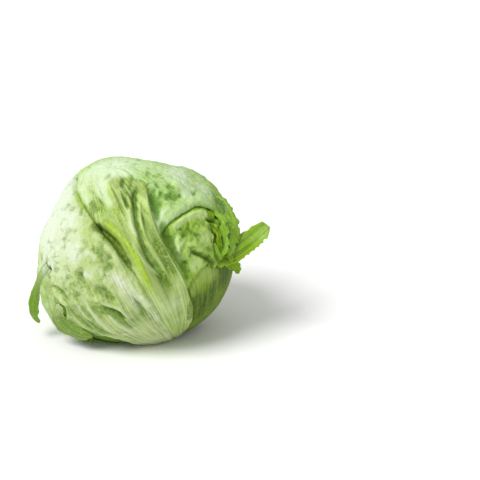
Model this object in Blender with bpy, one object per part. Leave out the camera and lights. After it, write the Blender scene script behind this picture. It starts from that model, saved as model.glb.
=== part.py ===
# Iceberg lettuce as picked: a tight heart, twelve leaves wrapped round it and the cut stem. Metres, +Z up.
#
# The head rests on its underside, with its stem end low and to the front right. The origin is the middle
# of the flat patch that it rests on. Every place on the head is a direction from the head's centre, given
# by two angles in degrees: the angle from the stem, and the angle round the stem. Leaves are laid over the
# heart one on another, so each one lies on what is under it.

import math

import bmesh
import bpy
import numpy as np
from mathutils import Matrix, Vector
from mathutils.geometry import delaunay_2d_cdt

HEAD_RADIUS = 0.0785
CENTRE_HEIGHT = 0.067
LEAF_THICKNESS = 0.0012
LEAF_GAP = 0.0010
MESH_SPACING = 0.0094
HEART_SUBDIVISIONS = 4

STEM_DIRECTION = (0.40, -0.17, -0.90)
FRONT_DIRECTION = (0.0, -0.94, 0.34)
STEM_FACE_DISTANCE = 0.0640
STEM_ROOT_DISTANCE = 0.0500
STEM_FACE_RADIUS = 0.0125
STEM_ROOT_RADIUS = 0.0105
STEM_BEVEL = 0.0010
STEM_SEGMENTS = 28
STEM_POCKET_DISTANCE = 0.0450
STEM_POCKET_ANGLE = 11.0

# How far past its edge a leaf holds up the leaf on top, and how far that leaf takes to come down.
COVER_MARGIN = 0.006
COVER_FALL = 0.014
# Over this distance the heart makes room for a leaf, so that the head keeps its shape.
ROOM_BLEND = 0.030
FLOOR_BLEND = 0.008

# Swellings and hollows of the whole head: direction (x, y, z), height in metres, width in degrees.
SWELLINGS = (
    ((0.66, 0.26, 0.70), 0.0042, 19),
    ((0.22, 0.33, 0.92), -0.0080, 19),
    ((-0.50, 0.28, 0.82), 0.0022, 20),
    ((-0.85, 0.18, 0.49), -0.0060, 18),
    ((0.84, -0.20, -0.50), 0.0010, 18),
    ((-0.78, -0.30, -0.55), 0.0055, 16),
    ((0.10, -0.50, -0.86), -0.0030, 20),
)

LEAF_GREEN = (0.43, 0.62, 0.20)
INNER_GREEN = (0.60, 0.76, 0.34)
STEM_CREAM = (0.86, 0.82, 0.62)


# Half width of an evenly wrapped leaf at some angles from the stem, as shares of its greatest, and what lies
# between its last full width and its tip.
BROAD_LEAF_SHARES = ((20, 0.58), (42, 0.76), (70, 0.93), (98, 1.0), (122, 1.04))
BROAD_LEAF_TAPER = 10
BROAD_LEAF_SHOULDER = 5
BROAD_LEAF_SHOULDER_SHARE = 0.7


def broad_leaf(around, half_width, tip):
    """Outline of a leaf that wraps the head evenly: the angle round its middle, and the one of its tip."""
    last = tip - BROAD_LEAF_TAPER
    used = [(polar, half_width * share) for polar, share in BROAD_LEAF_SHARES if polar < last]
    right = [(polar, around + reach) for polar, reach in used]
    left = [(polar, around - reach) for polar, reach in reversed(used)]
    shoulder, reach = tip - BROAD_LEAF_SHOULDER, half_width * BROAD_LEAF_SHOULDER_SHARE
    return right + [(shoulder, around + reach), (tip, around), (shoulder, around - reach)] + left


# Leaves from the innermost outwards: name, middle, outline, and places where the leaf stands off the head,
# each with its direction, height in metres and width in degrees. The points of an outline are the angle from
# the stem and the angle round it.
LEAVES = (
    ("inner_leaf_back", (84, 178), broad_leaf(178, 62, 148), ()),
    (
        "inner_leaf_right",
        (70, 62),
        (
            (16, 20), (16, 95), (40, 118), (72, 122), (102, 118), (122, 100),
            (126, 66), (118, 30), (96, 8), (68, 2), (38, 5),
        ),
        (),
    ),
    (
        "torn_leaf_right",
        (84, 70),
        (
            (74, 48), (65, 58), (70, 70), (72, 82), (72, 92), (78, 96), (84, 92), (86, 82), (93, 76),
            (100, 66), (98, 52),
        ),
        (((78, 95), 0.0290, 8),),
    ),
    (
        "folded_leaf_right",
        (94, 22),
        (
            (28, -4), (29, 14), (46, 18), (66, 18), (82, 22), (84, 31), (77, 37), (71, 44), (66, 52),
            (62, 62), (69, 61), (78, 54), (88, 52), (96, 56), (112, 58), (126, 44), (130, 14), (118, -16),
            (92, -24), (60, -20), (40, -18),
        ),
        (),
    ),
    (
        "crown_leaf",
        (112, 30),
        (
            (16, -34), (18, -4), (44, 4), (72, 8), (90, 14), (99, 22), (102, 33), (103, 45), (99, 58),
            (94, 68), (95, 80), (99, 94), (104, 106), (114, 116), (134, 124), (150, 150), (162, -160),
            (158, -100), (140, -66), (112, -50), (78, -42), (44, -40),
        ),
        (),
    ),
    ("outer_leaf_back_left", (84, -136), broad_leaf(-134, 54, 144), ()),
    (
        "outer_leaf_low_left",
        (62, -86),
        (
            (16, -124), (16, -50), (36, -42), (58, -40), (80, -44), (96, -56), (102, -76), (98, -92),
            (86, -108), (62, -124), (36, -134),
        ),
        (),
    ),
    ("outer_leaf_back_right", (82, 144), broad_leaf(144, 34, 138), ()),
    (
        "outer_leaf_front",
        (88, -6),
        (
            (16, -20), (16, 22), (30, 25), (51, 25), (68, 23), (83, 22), (91, 21), (100, 20), (109, 21),
            (118, 24), (127, 29), (136, 26), (143, 12), (148, -8), (147, -32), (136, -42), (112, -34),
            (84, -30), (50, -28),
        ),
        (),
    ),
    ("outer_leaf_back", (80, 176), broad_leaf(178, 50, 132), ()),
    (
        "outer_leaf_left",
        (100, -52),
        (
            (16, -48), (16, -6), (32, 1), (56, 1), (75, 0), (87, -2), (98, -5), (111, -9), (125, -15),
            (135, -19), (145, -24), (155, -32), (162, -62), (158, -98), (142, -114), (122, -108),
            (104, -116), (88, -114), (82, -107), (88, -100), (98, -97), (90, -93), (75, -98), (67, -94),
            (65, -84), (66, -72), (58, -60), (36, -50),
        ),
        (((88, -104), 0.0190, 7), ((72, -92), 0.0070, 9)),
    ),
    (
        "outer_leaf_underside",
        (50, -144),
        (
            (17, 160), (17, -88), (32, -70), (46, -80), (58, -98), (72, -116), (86, -134), (88, -156),
            (78, 176), (60, 158), (38, 148),
        ),
        (),
    ),
)


def unit(vector):
    vector = np.asarray(vector, float)
    return vector / np.linalg.norm(vector)


STEM = unit(STEM_DIRECTION)
FRONT = unit(unit(FRONT_DIRECTION) - STEM * (unit(FRONT_DIRECTION) @ STEM))
SIDE = np.cross(FRONT, STEM)


def directions(from_stem, round_stem):
    """Unit vectors for angles in degrees from the stem and round it."""
    polar, turn = np.radians(from_stem), np.radians(round_stem)
    across = np.cos(turn)[..., None] * FRONT + np.sin(turn)[..., None] * SIDE
    return np.cos(polar)[..., None] * STEM + np.sin(polar)[..., None] * across


def smooth(t):
    t = np.clip(t, 0, 1)
    return t * t * (3 - 2 * t)


def angle_between(points, direction):
    return np.degrees(np.arccos(np.clip(points @ direction, -1, 1)))


def bump(points, direction, width):
    return np.exp(-0.5 * (angle_between(points, direction) / width) ** 2)


def floor_distance(points):
    """Distance from the head's centre to the floor, very large for directions that never meet it."""
    return CENTRE_HEIGHT / np.maximum(-points[..., 2], 0.02)


def lower_of(a, b, blend):
    """The smaller of two distances, rounded where they cross and exact elsewhere."""
    near = np.maximum(blend - np.abs(a - b), 0) / blend
    return np.minimum(a, b) - near * near * blend / 4


class Leaf:
    """A leaf's outline, flattened round the leaf's middle so that distances stay true near it."""

    def __init__(self, name, middle, outline, lifts):
        self.name = name
        self.middle = directions(*np.array(middle, float))
        self.along = unit(-STEM + self.middle * (STEM @ self.middle))
        self.across = np.cross(self.along, self.middle)
        self.lifts = [(directions(*np.array(spot, float)), *size) for spot, *size in lifts]
        self.outline = self.rounded(self.flat(directions(*np.array(outline, float).T)))

    def flat(self, points):
        angle = np.arccos(np.clip(points @ self.middle, -1, 1))
        plane = np.stack([points @ self.across, points @ self.along], -1)
        length = np.maximum(np.linalg.norm(plane, axis=-1), 1e-9)
        return plane * (HEAD_RADIUS * angle / length)[..., None]

    def unflat(self, flat):
        distance = np.maximum(np.linalg.norm(flat, axis=-1, keepdims=True), 1e-12)
        angle, heading = distance / HEAD_RADIUS, flat / distance
        sideways = heading[..., :1] * self.across + heading[..., 1:] * self.along
        return np.cos(angle) * self.middle + np.sin(angle) * sideways

    def rounded(self, corners):
        """Closed curve through the corners, with points a mesh spacing apart."""
        curve = []
        for i in range(len(corners)):
            a, b, c, d = (corners[(i + k) % len(corners)] for k in (-1, 0, 1, 2))
            count = max(1, round(np.linalg.norm(c - b) / MESH_SPACING))
            t = np.arange(count)[:, None] / count
            bend = (2 * a - 5 * b + 4 * c - d) * t + (3 * b - a - 3 * c + d) * t * t
            curve.append(b + 0.5 * t * (c - a + bend))
        return np.concatenate(curve)

    def edge_distance(self, flat):
        """Distance to the outline in metres, positive inside it."""
        spot = flat.reshape(-1, 1, 2)
        start, step = self.outline, np.roll(self.outline, -1, 0) - self.outline
        share = np.clip(((spot - start) * step).sum(-1) / (step * step).sum(-1), 0, 1)
        nearest = np.linalg.norm(spot - start - share[..., None] * step, axis=-1).min(1)
        passes = (start[:, 1] > spot[..., 1]) != (start[:, 1] + step[:, 1] > spot[..., 1])
        rise = np.where(np.abs(step[:, 1]) < 1e-12, 1e-12, step[:, 1])
        crossing = start[:, 0] + (spot[..., 1] - start[:, 1]) * step[:, 0] / rise
        inside = (passes & (spot[..., 0] < crossing)).sum(1) % 2 == 1
        return np.where(inside, nearest, -nearest).reshape(flat.shape[:-1])

    def lift(self, points):
        lifts = (height * bump(points, spot, width) for spot, height, width in self.lifts)
        return sum(lifts, 0 * points[..., 0])

    def cover(self, points):
        """1 over the leaf and a little past its edge, then smoothly down to 0."""
        distance = self.edge_distance(self.flat(points))
        return smooth((distance + COVER_MARGIN + COVER_FALL) / COVER_FALL)

    def room(self, points):
        """The cover spread wide."""
        return smooth((self.edge_distance(self.flat(points)) + ROOM_BLEND) / (2 * ROOM_BLEND))


STACK = [Leaf(*row) for row in LEAVES]
LEVEL = LEAF_THICKNESS + LEAF_GAP


def heart_radius(points, covers):
    """The heart's surface: the head's shape less room for the leaves."""
    shape = np.full(points.shape[:-1], HEAD_RADIUS)
    for direction, height, width in SWELLINGS:
        shape += height * bump(points, unit(direction), width)
    shape -= LEVEL * sum(leaf.room(points) for leaf in STACK)
    under = floor_distance(points) - LEVEL * sum(covers)
    return lower_of(shape, under, FLOOR_BLEND)


def leaf_radius(index, points):
    """Distance from the head's centre to a leaf's outer face."""
    covers = [leaf.cover(points) for leaf in STACK]
    radius = heart_radius(points, covers) + LEVEL + STACK[index].lift(points)
    for leaf, cover in zip(STACK[:index], covers):
        radius += (LEVEL + leaf.lift(points)) * cover
    return np.minimum(radius, floor_distance(points) - LEVEL * sum(covers[index + 1:]))


def place(points, radii):
    return points * radii[..., None] + np.array((0, 0, CENTRE_HEIGHT))


def material(name, colour, roughness):
    made = bpy.data.materials.new(name)
    made.use_nodes = True
    shader = made.node_tree.nodes["Principled BSDF"]
    shader.inputs["Base Color"].default_value = (*colour, 1)
    shader.inputs["Roughness"].default_value = roughness
    shader.inputs["Metallic"].default_value = 0
    return made


def add_object(name, shape, finish):
    mesh = bpy.data.meshes.new(name)
    shape.to_mesh(mesh)
    shape.free()
    mesh.shade_smooth()
    mesh.materials.append(finish)
    made = bpy.data.objects.new(name, mesh)
    bpy.context.scene.collection.objects.link(made)
    return made


def add_leaf(index, finish):
    """A leaf's outer face as a net of triangles, thickened inwards."""
    leaf = STACK[index]
    row = MESH_SPACING * math.sqrt(0.75)
    low, high = leaf.outline.min(0), leaf.outline.max(0)
    net = [
        (x + (MESH_SPACING / 2 if k % 2 else 0), y)
        for k, y in enumerate(np.arange(low[1], high[1], row))
        for x in np.arange(low[0], high[0], MESH_SPACING)
    ]
    net = np.array(net)
    net = net[leaf.edge_distance(net) > MESH_SPACING * 0.6]
    flat = np.concatenate([leaf.outline, net])
    edges = [(i, (i + 1) % len(leaf.outline)) for i in range(len(leaf.outline))]
    spots, _, faces = delaunay_2d_cdt([Vector(spot) for spot in flat], edges, [], 1, 1e-7)[:3]
    points = leaf.unflat(np.array([spot[:] for spot in spots]))
    shape = bmesh.new()
    corners = [shape.verts.new(position) for position in place(points, leaf_radius(index, points))]
    for face in faces:
        shape.faces.new([corners[i] for i in face])
    made = add_object(leaf.name, shape, finish)
    wall = made.modifiers.new("thickness", "SOLIDIFY")
    wall.thickness = LEAF_THICKNESS
    wall.offset = -1


def add_heart(finish):
    shape = bmesh.new()
    bmesh.ops.create_icosphere(shape, subdivisions=HEART_SUBDIVISIONS, radius=1)
    points = np.array([vertex.co.normalized()[:] for vertex in shape.verts])
    covers = [leaf.cover(points) for leaf in STACK]
    pocket = smooth((STEM_POCKET_ANGLE * 2 - angle_between(points, STEM)) / STEM_POCKET_ANGLE)
    radii = heart_radius(points, covers)
    radii += pocket * (STEM_POCKET_DISTANCE - radii)
    for vertex, position in zip(shape.verts, place(points, radii)):
        vertex.co = Vector(position)
    add_object("heart", shape, finish)


def add_stem(finish):
    """The cut stem: a cone that widens to its cut face, in a pocket of the heart."""
    shape = bmesh.new()
    bmesh.ops.create_cone(
        shape, cap_ends=True, segments=STEM_SEGMENTS, depth=STEM_FACE_DISTANCE - STEM_ROOT_DISTANCE,
        radius1=STEM_ROOT_RADIUS, radius2=STEM_FACE_RADIUS,
    )
    rim = [edge for edge in shape.edges if all(vertex.co.z > 0 for vertex in edge.verts)]
    bmesh.ops.bevel(shape, geom=rim, offset=STEM_BEVEL, segments=2, profile=0.5, affect="EDGES")
    turn = Vector((0, 0, 1)).rotation_difference(Vector(STEM)).to_matrix().to_4x4()
    middle = (STEM_FACE_DISTANCE + STEM_ROOT_DISTANCE) / 2
    seat = Matrix.Translation(Vector(STEM) * middle + Vector((0, 0, CENTRE_HEIGHT)))
    bmesh.ops.transform(shape, matrix=seat @ turn, verts=shape.verts)
    add_object("cut_stem", shape, finish)


def main():
    for old in list(bpy.data.objects):
        bpy.data.objects.remove(old)
    outer = material("outer_leaf", LEAF_GREEN, 0.45)
    inner = material("inner_leaf", INNER_GREEN, 0.45)
    cream = material("cut_stem", STEM_CREAM, 0.6)
    add_heart(inner)
    add_stem(cream)
    for index, leaf in enumerate(STACK):
        add_leaf(index, outer if leaf.name.startswith("outer") else inner)


main()
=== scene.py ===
import math
from itertools import product

import bmesh
import bpy
import numpy as np
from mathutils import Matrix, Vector


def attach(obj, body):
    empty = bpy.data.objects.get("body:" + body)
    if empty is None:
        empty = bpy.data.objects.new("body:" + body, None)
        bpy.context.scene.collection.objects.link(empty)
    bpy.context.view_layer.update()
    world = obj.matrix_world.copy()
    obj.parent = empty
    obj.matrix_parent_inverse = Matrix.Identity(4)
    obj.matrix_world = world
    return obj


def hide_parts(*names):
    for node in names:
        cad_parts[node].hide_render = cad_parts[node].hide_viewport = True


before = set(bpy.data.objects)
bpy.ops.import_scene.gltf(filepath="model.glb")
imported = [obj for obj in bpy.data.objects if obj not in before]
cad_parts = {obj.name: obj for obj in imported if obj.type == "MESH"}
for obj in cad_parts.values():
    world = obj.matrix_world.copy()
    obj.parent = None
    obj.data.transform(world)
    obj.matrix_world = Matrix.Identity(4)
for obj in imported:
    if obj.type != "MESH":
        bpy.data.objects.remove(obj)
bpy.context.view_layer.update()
print("frame loaded,", len(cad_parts), "parts")

mm = 0.001

# The head's own frame, as in the CAD: every place is a direction from the head's centre, given by its angle
# from the stem and its angle round the stem, in degrees
head = {
    "radius": 78.5 * mm,
    "centreHeight": 67 * mm,
    "stem": (0.40, -0.17, -0.90),
    "front": (0.0, -0.94, 0.34),
    "leafStep": 1.15 * mm,  # from one leaf's outer face to the next one's
    "heldPast": 2 * mm,  # a leaf is held up this far past the edge of the leaf under it
    "fallsOver": 7 * mm,  # and comes down over this
    "roomBlend": 30 * mm,
    "floorBlend": 6 * mm,
    "hiddenRange": (-1.2 * mm, 0.8 * mm),  # a leaf's own folds end here, under the margin of the next one
    # direction, height, width in degrees
    "swellings": (
        ((0.66, 0.26, 0.70), 4.2 * mm, 19),
        ((0.22, 0.33, 0.92), -8.0 * mm, 19),
        ((-0.50, 0.28, 0.82), 2.2 * mm, 20),
        ((-0.85, 0.18, 0.49), -6.0 * mm, 18),
        ((0.84, -0.20, -0.50), 1.0 * mm, 18),
        ((-0.78, -0.30, -0.55), 5.5 * mm, 16),
        ((0.10, -0.50, -0.86), -3.0 * mm, 20),
    ),
    "bumpiness": ((26 * mm, 1.2 * mm), (12 * mm, 0.5 * mm)),  # size and height of the broad unevenness
    "bumpinessSeed": 3,
    "gridStep": 0.5,  # degrees between the places where the layers' heights are worked out
    "outlineStep": 1.5,  # and between those where the distance to each leaf's outline is
}


def unit(vector):
    vector = np.asarray(vector, float)
    return vector / np.linalg.norm(vector)


stem = unit(head["stem"])
front = unit(unit(head["front"]) - stem * (unit(head["front"]) @ stem))
side = np.cross(front, stem)
centre = np.array((0, 0, head["centreHeight"]))


def directions(fromStem, roundStem):
    polar, turn = np.radians(fromStem), np.radians(roundStem)
    across = np.cos(turn)[..., None] * front + np.sin(turn)[..., None] * side
    return np.cos(polar)[..., None] * stem + np.sin(polar)[..., None] * across


def spotsOf(path):  # unit directions of a list of (angle from stem, angle round it)
    return directions(*np.array(path, float).T)


def headAngles(points):
    polar = np.degrees(np.arccos(np.clip(points @ stem, -1, 1)))
    return polar, np.degrees(np.arctan2(points @ side, points @ front))


def smooth(t):
    t = np.clip(t, 0, 1)
    return t * t * (3 - 2 * t)


def ramp(value, start, end):  # 0 at start, 1 at end
    return smooth((value - start) / (end - start))


# Numbers that stir up the noise, and the turn that keeps its lattice off the axes
noise = {
    "weights": (127.1, 311.7, 74.7), "seedStep": 53.37, "spread": 43758.5453, "seedShift": 7.7,
    "turn": ((0.36, 0.48, -0.80), (-0.80, 0.60, 0.0), (0.48, 0.64, 0.60)),
}


def hashed(cells, seed):  # repeatable numbers from 0 to 1 for whole-number cells
    weights = np.array(noise["weights"][: cells.shape[-1]])
    mixed = np.sin(cells @ weights + seed * noise["seedStep"]) * noise["spread"]
    return mixed - np.floor(mixed)


def softNoise(points, size, seed=0):  # from -1 to 1, with features about that size
    spots = points @ np.array(noise["turn"]) / size + seed * noise["seedShift"]
    cells = np.floor(spots)
    part = smooth(spots - cells)
    total = np.zeros(points.shape[:-1])
    for corner in product((0, 1), repeat=3):
        total += np.prod(np.where(corner, part, 1 - part), axis=-1) * hashed(cells + corner, seed)
    return 2 * total - 1


crinkles = {"sizes": (5 * mm, 2.4 * mm), "shares": (0.65, 0.35), "sharpness": 2.2}


def crinkled(points, seed):  # sharp little ridges, from 0 to 1
    coarse, fine = (np.clip(1 - crinkles["sharpness"] * np.abs(softNoise(points, size, seed + index)), 0, 1)
                    for index, size in enumerate(crinkles["sizes"]))
    return coarse * crinkles["shares"][0] + fine * crinkles["shares"][1]


def cellNet(spots, seed=0):  # distances to the two nearest of scattered points, one to a square
    base = np.floor(spots)
    near = np.full(spots.shape[:-1] + (2,), 9.0)
    for shift in product((-1, 0, 1), repeat=2):
        cells = base + shift
        jitter = np.stack([hashed(cells, seed), hashed(cells, seed + 9)], -1)
        far = np.linalg.norm(cells + 0.1 + 0.8 * jitter - spots, axis=-1)
        near = np.sort(np.concatenate([near, far[..., None]], -1), -1)[..., :2]
    return near[..., 0], near[..., 1]


def curveThrough(corners, spacing, closed=False):  # smooth curve with points about that far apart
    corners = np.asarray(corners, float)
    if closed:
        ends = np.concatenate([corners[-1:], corners, corners[:2]])
    else:
        ends = np.concatenate([2 * corners[:1] - corners[1:2], corners, 2 * corners[-1:] - corners[-2:-1]])
    curve = []
    for a, b, c, d in zip(ends, ends[1:], ends[2:], ends[3:]):
        count = max(1, round(np.linalg.norm(c - b) / spacing))
        t = np.arange(count)[:, None] / count
        bend = (2 * a - 5 * b + 4 * c - d) * t + (3 * b - a - 3 * c + d) * t * t
        curve.append(b + 0.5 * t * (c - a + bend))
    return np.concatenate(curve if closed else curve + [corners[-1:]])


def bump(points, place, width):
    return np.exp(-0.5 * (np.degrees(np.arccos(np.clip(points @ place, -1, 1))) / width) ** 2)


def floorDistance(points):
    return head["centreHeight"] / np.maximum(-points[..., 2], 0.02)


def lowerOf(a, b, blend):
    near = np.maximum(blend - np.abs(a - b), 0) / blend
    return np.minimum(a, b) - near * near * blend / 4


class HeadGrid:  # values for every direction from the centre
    def __init__(self, step):
        self.step = step
        polar, around = np.arange(0, 180 + step / 2, step), np.arange(-180, 180 + step / 2, step)
        self.points = directions(*np.meshgrid(polar, around, indexing="ij"))

    def zeros(self):
        return np.zeros(self.points.shape[:-1])

    def sample(self, values, points):
        polar, around = headAngles(points)
        row = np.clip(polar / self.step, 0, values.shape[0] - 1.001)
        column = np.clip((around + 180) / self.step, 0, values.shape[1] - 1.001)
        i, j = np.floor(row).astype(int), np.floor(column).astype(int)
        x, y = row - i, column - j
        if values.ndim > self.points.ndim - 1:
            x, y = x[..., None], y[..., None]
        low = values[i, j] * (1 - x) + values[i + 1, j] * x
        return low * (1 - y) + (values[i, j + 1] * (1 - x) + values[i + 1, j + 1] * x) * y


grid = HeadGrid(head["gridStep"])
outlineGrid = HeadGrid(head["outlineStep"])


# A stroke lies along a path of places, or round one place. Its width in mm is one number, or two, to the
# left and right of someone who walks the path. It fades over a share of its length, one number or one for
# each end. What it adds is a height or a tint.
def stroke(amount, width, path, fade=0.2, power=2.0):
    left, right = np.broadcast_to(width, 2) * mm
    fadeIn, fadeOut = np.broadcast_to(fade, 2)
    return {"amount": amount, "left": left, "right": right, "path": path, "power": power,
            "fadeIn": fadeIn, "fadeOut": fadeOut}


def spot(amount, width, place):
    return stroke(amount, width, [place])


def ridge(height, *shape):  # a valley if its height in mm is negative
    return stroke(height * mm, *shape)


def ridges(height, width, fade, *paths):
    return [ridge(height, width, path, fade) for path in paths]


def pits(depth, width, *places):
    return [spot(-depth * mm, width, place) for place in places]


# The step along a path, and how far from it, in widths, a stroke is worked out
strokeSteps = {"spacing": 2.5 * mm, "reach": 2.8}


def strengthOf(one):  # the places of the grid that a stroke reaches, and its strength there
    solid = grid.points * head["radius"]
    curve = spotsOf(one["path"]) * head["radius"]
    if len(curve) > 1:
        curve = curveThrough(curve, strokeSteps["spacing"])
        curve *= head["radius"] / np.linalg.norm(curve, axis=1, keepdims=True)
    middle = curve.mean(0)
    reach = np.linalg.norm(curve - middle, axis=1).max()
    reach += strokeSteps["reach"] * max(one["left"], one["right"])
    near = np.linalg.norm(solid - middle, axis=-1) < reach
    spots = solid[near]
    if len(curve) == 1:
        return near, np.exp(-((spots - middle) ** 2).sum(1) / one["left"] ** 2)
    best = np.full(len(spots), 9e9)
    right, share = np.zeros(len(spots), bool), np.zeros(len(spots))
    for index, (start, end) in enumerate(zip(curve, curve[1:])):
        step, offset = end - start, spots - start
        t = np.clip(offset @ step / (step @ step), 0, 1)
        distance = ((offset - t[:, None] * step) ** 2).sum(1)
        closer = distance < best
        best = np.where(closer, distance, best)
        right = np.where(closer, spots @ np.cross(start, end) < 0, right)
        share = np.where(closer, (index + t) / (len(curve) - 1), share)
    width = np.where(right, one["right"], one["left"])
    ends = ramp(share, 0, one["fadeIn"] + 1e-6) * ramp(1 - share, 0, one["fadeOut"] + 1e-6)
    return near, np.exp(-((np.sqrt(best) / width) ** one["power"])) * ends


def reliefOf(strokes):
    total = grid.zeros()
    for one in strokes:
        near, strength = strengthOf(one)
        total[near] += one["amount"] * strength
    return total


def tintsOf(strokes):  # three channels: deeper green, fresher yellow-green, paler
    total = np.zeros(grid.points.shape)
    for one in strokes:
        near, strength = strengthOf(one)
        total[near] += strength[:, None] * one["amount"]
    return total


class Leaf:  # a leaf's outline, flattened round its middle
    def __init__(self, name, middle, outline):
        self.name = name
        self.middle = directions(*np.array(middle, float))
        self.up = unit(-stem + self.middle * (stem @ self.middle))
        self.across = np.cross(self.up, self.middle)
        self.outline = curveThrough(self.flat(spotsOf(outline)), 1.5 * mm, True)
        coarse = outlineGrid.points
        coarse = self.edgeDistance(self.flat(coarse).reshape(-1, 2)).reshape(coarse.shape[:-1])
        self.inside = outlineGrid.sample(coarse, grid.points)

    def flat(self, points):
        angle = np.arccos(np.clip(points @ self.middle, -1, 1))
        plane = np.stack([points @ self.across, points @ self.up], -1)
        length = np.maximum(np.linalg.norm(plane, axis=-1), 1e-9)
        return plane * (head["radius"] * angle / length)[..., None]

    def unflat(self, spots):
        distance = np.maximum(np.linalg.norm(spots, axis=-1, keepdims=True), 1e-12)
        angle, heading = distance / head["radius"], spots / distance
        sideways = heading[..., :1] * self.across + heading[..., 1:] * self.up
        return np.cos(angle) * self.middle + np.sin(angle) * sideways

    def edgeDistance(self, spots):  # positive inside
        inside = np.zeros(len(spots), bool)
        nearest = np.full(len(spots), 9e9)
        x, y = spots[:, 0].copy(), spots[:, 1].copy()
        for start, end in zip(self.outline, np.roll(self.outline, -1, 0)):
            step = end - start
            dx, dy = x - start[0], y - start[1]
            t = np.clip((dx * step[0] + dy * step[1]) / max(step @ step, 1e-18), 0, 1)
            nearest = np.minimum(nearest, (dx - t * step[0]) ** 2 + (dy - t * step[1]) ** 2)
            if step[1]:
                inside ^= ((start[1] > y) != (end[1] > y)) & (dx < dy * (step[0] / step[1]))
        return np.where(inside, 1, -1) * np.sqrt(nearest)


def broadLeaf(around, halfWidth, tip):
    stations = ((15, 0.58), (42, 0.76), (70, 0.93), (98, 1.0), (122, 1.02))
    used = [(polar, share) for polar, share in stations if polar < tip - 10]
    right = [(polar, around + halfWidth * share) for polar, share in used]
    left = [(polar, around - halfWidth * share) for polar, share in reversed(used)]
    over = [(tip - 5, around + halfWidth * 0.7), (tip, around), (tip - 5, around - halfWidth * 0.7)]
    return right + over + left


# Outlines from the innermost leaf outwards
stack = [
    Leaf("inner_leaf_back", (84, 178), broadLeaf(178, 62, 148)),
    Leaf("inner_leaf_right", (70, 62), [
        (14, 20), (14, 95), (40, 118), (72, 122), (102, 118), (122, 100), (126, 66), (118, 30), (96, 8),
        (68, 2), (38, 5),
    ]),
    Leaf("torn_leaf_right", (84, 70), [
        (74, 40), (68, 47), (63, 56), (62, 68), (66, 80), (72, 89), (84, 93), (97, 94), (105, 90),
        (106, 78), (104, 64), (101, 48), (88, 42),
    ]),
    Leaf("folded_leaf_right", (94, 22), [
        (28, -4), (29, 14), (46, 18), (58, 18), (63, 25), (68, 33), (70.5, 39), (69.5, 43.5), (67.5, 47),
        (66, 50.5), (69, 52), (73, 50), (77, 50), (81, 51), (84, 52.5), (88, 51), (92, 51.5), (98, 56),
        (112, 58), (126, 44), (130, 14), (118, -16), (92, -24), (60, -20), (40, -18),
    ]),
    Leaf("crown_leaf", (112, 30), [
        (14, -34), (17, -4), (44, 4), (72, 8), (90, 14), (98, 20), (100.5, 24), (102.5, 29), (103.5, 36),
        (103.5, 43), (103.5, 49), (101.5, 54), (98.5, 59), (95, 62), (91, 61.5), (86, 60.5), (81, 59),
        (77, 55.5), (73.5, 52.5), (70, 53), (69, 59), (70, 68), (74, 80), (80, 91), (90, 99), (102, 110),
        (116, 117), (134, 124), (150, 150), (162, -160), (158, -100), (140, -66), (112, -50), (78, -42),
        (44, -40),
    ]),
    Leaf("outer_leaf_back_left", (84, -136), broadLeaf(-134, 54, 144)),
    Leaf("outer_leaf_low_left", (62, -86), [
        (14, -124), (14, -50), (36, -42), (58, -40), (80, -44), (96, -56), (102, -76), (98, -92),
        (86, -108), (62, -124), (36, -134),
    ]),
    Leaf("outer_leaf_back_right", (82, 144), broadLeaf(144, 34, 138)),
    Leaf("outer_leaf_front", (88, -6), [
        (13, -20), (13, 22), (30, 25), (48, 25.2), (56, 23.8), (61, 22.9), (67, 22.6), (73, 22),
        (79, 20.9), (85, 20), (91, 19.3), (98, 19), (104, 19.4), (110, 20.6), (116, 22.8), (121, 25.6),
        (126, 29), (129.5, 31.5), (133, 31), (137, 29), (146, 30), (156, 24), (163, 0), (160, -34),
        (148, -46), (136, -42), (112, -34), (84, -30), (50, -28),
    ]),
    Leaf("outer_leaf_back", (80, 176), broadLeaf(178, 50, 132)),
    Leaf("outer_leaf_left", (100, -52), [
        (13, -48), (13, -6), (32, 1), (56, 1), (75, 0), (84, -1.6), (90, -3.3), (97, -4.7), (107, -6.9),
        (115, -10.7), (123, -13.6), (131, -17.1), (142, -23.4), (150, -29.5), (157, -36), (164, -60),
        (158, -98), (142, -114), (122, -108), (106, -96), (99, -80), (92, -78), (86, -70), (82, -57),
        (78, -58), (74, -65), (69, -66), (65, -65), (61, -61), (58, -58.5), (52, -52), (47, -44),
        (36, -44),
    ]),
    Leaf("outer_leaf_underside", (50, -144), [
        (15, 160), (15, -88), (32, -66), (44, -66), (52, -70), (57, -74), (62, -80), (68, -92), (76, -110),
        (86, -134), (88, -156), (78, 176), (60, 158), (38, 148),
    ]),
]
leafNames = [leaf.name for leaf in stack]
print("outlines ready,", len(stack), "leaves")

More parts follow.
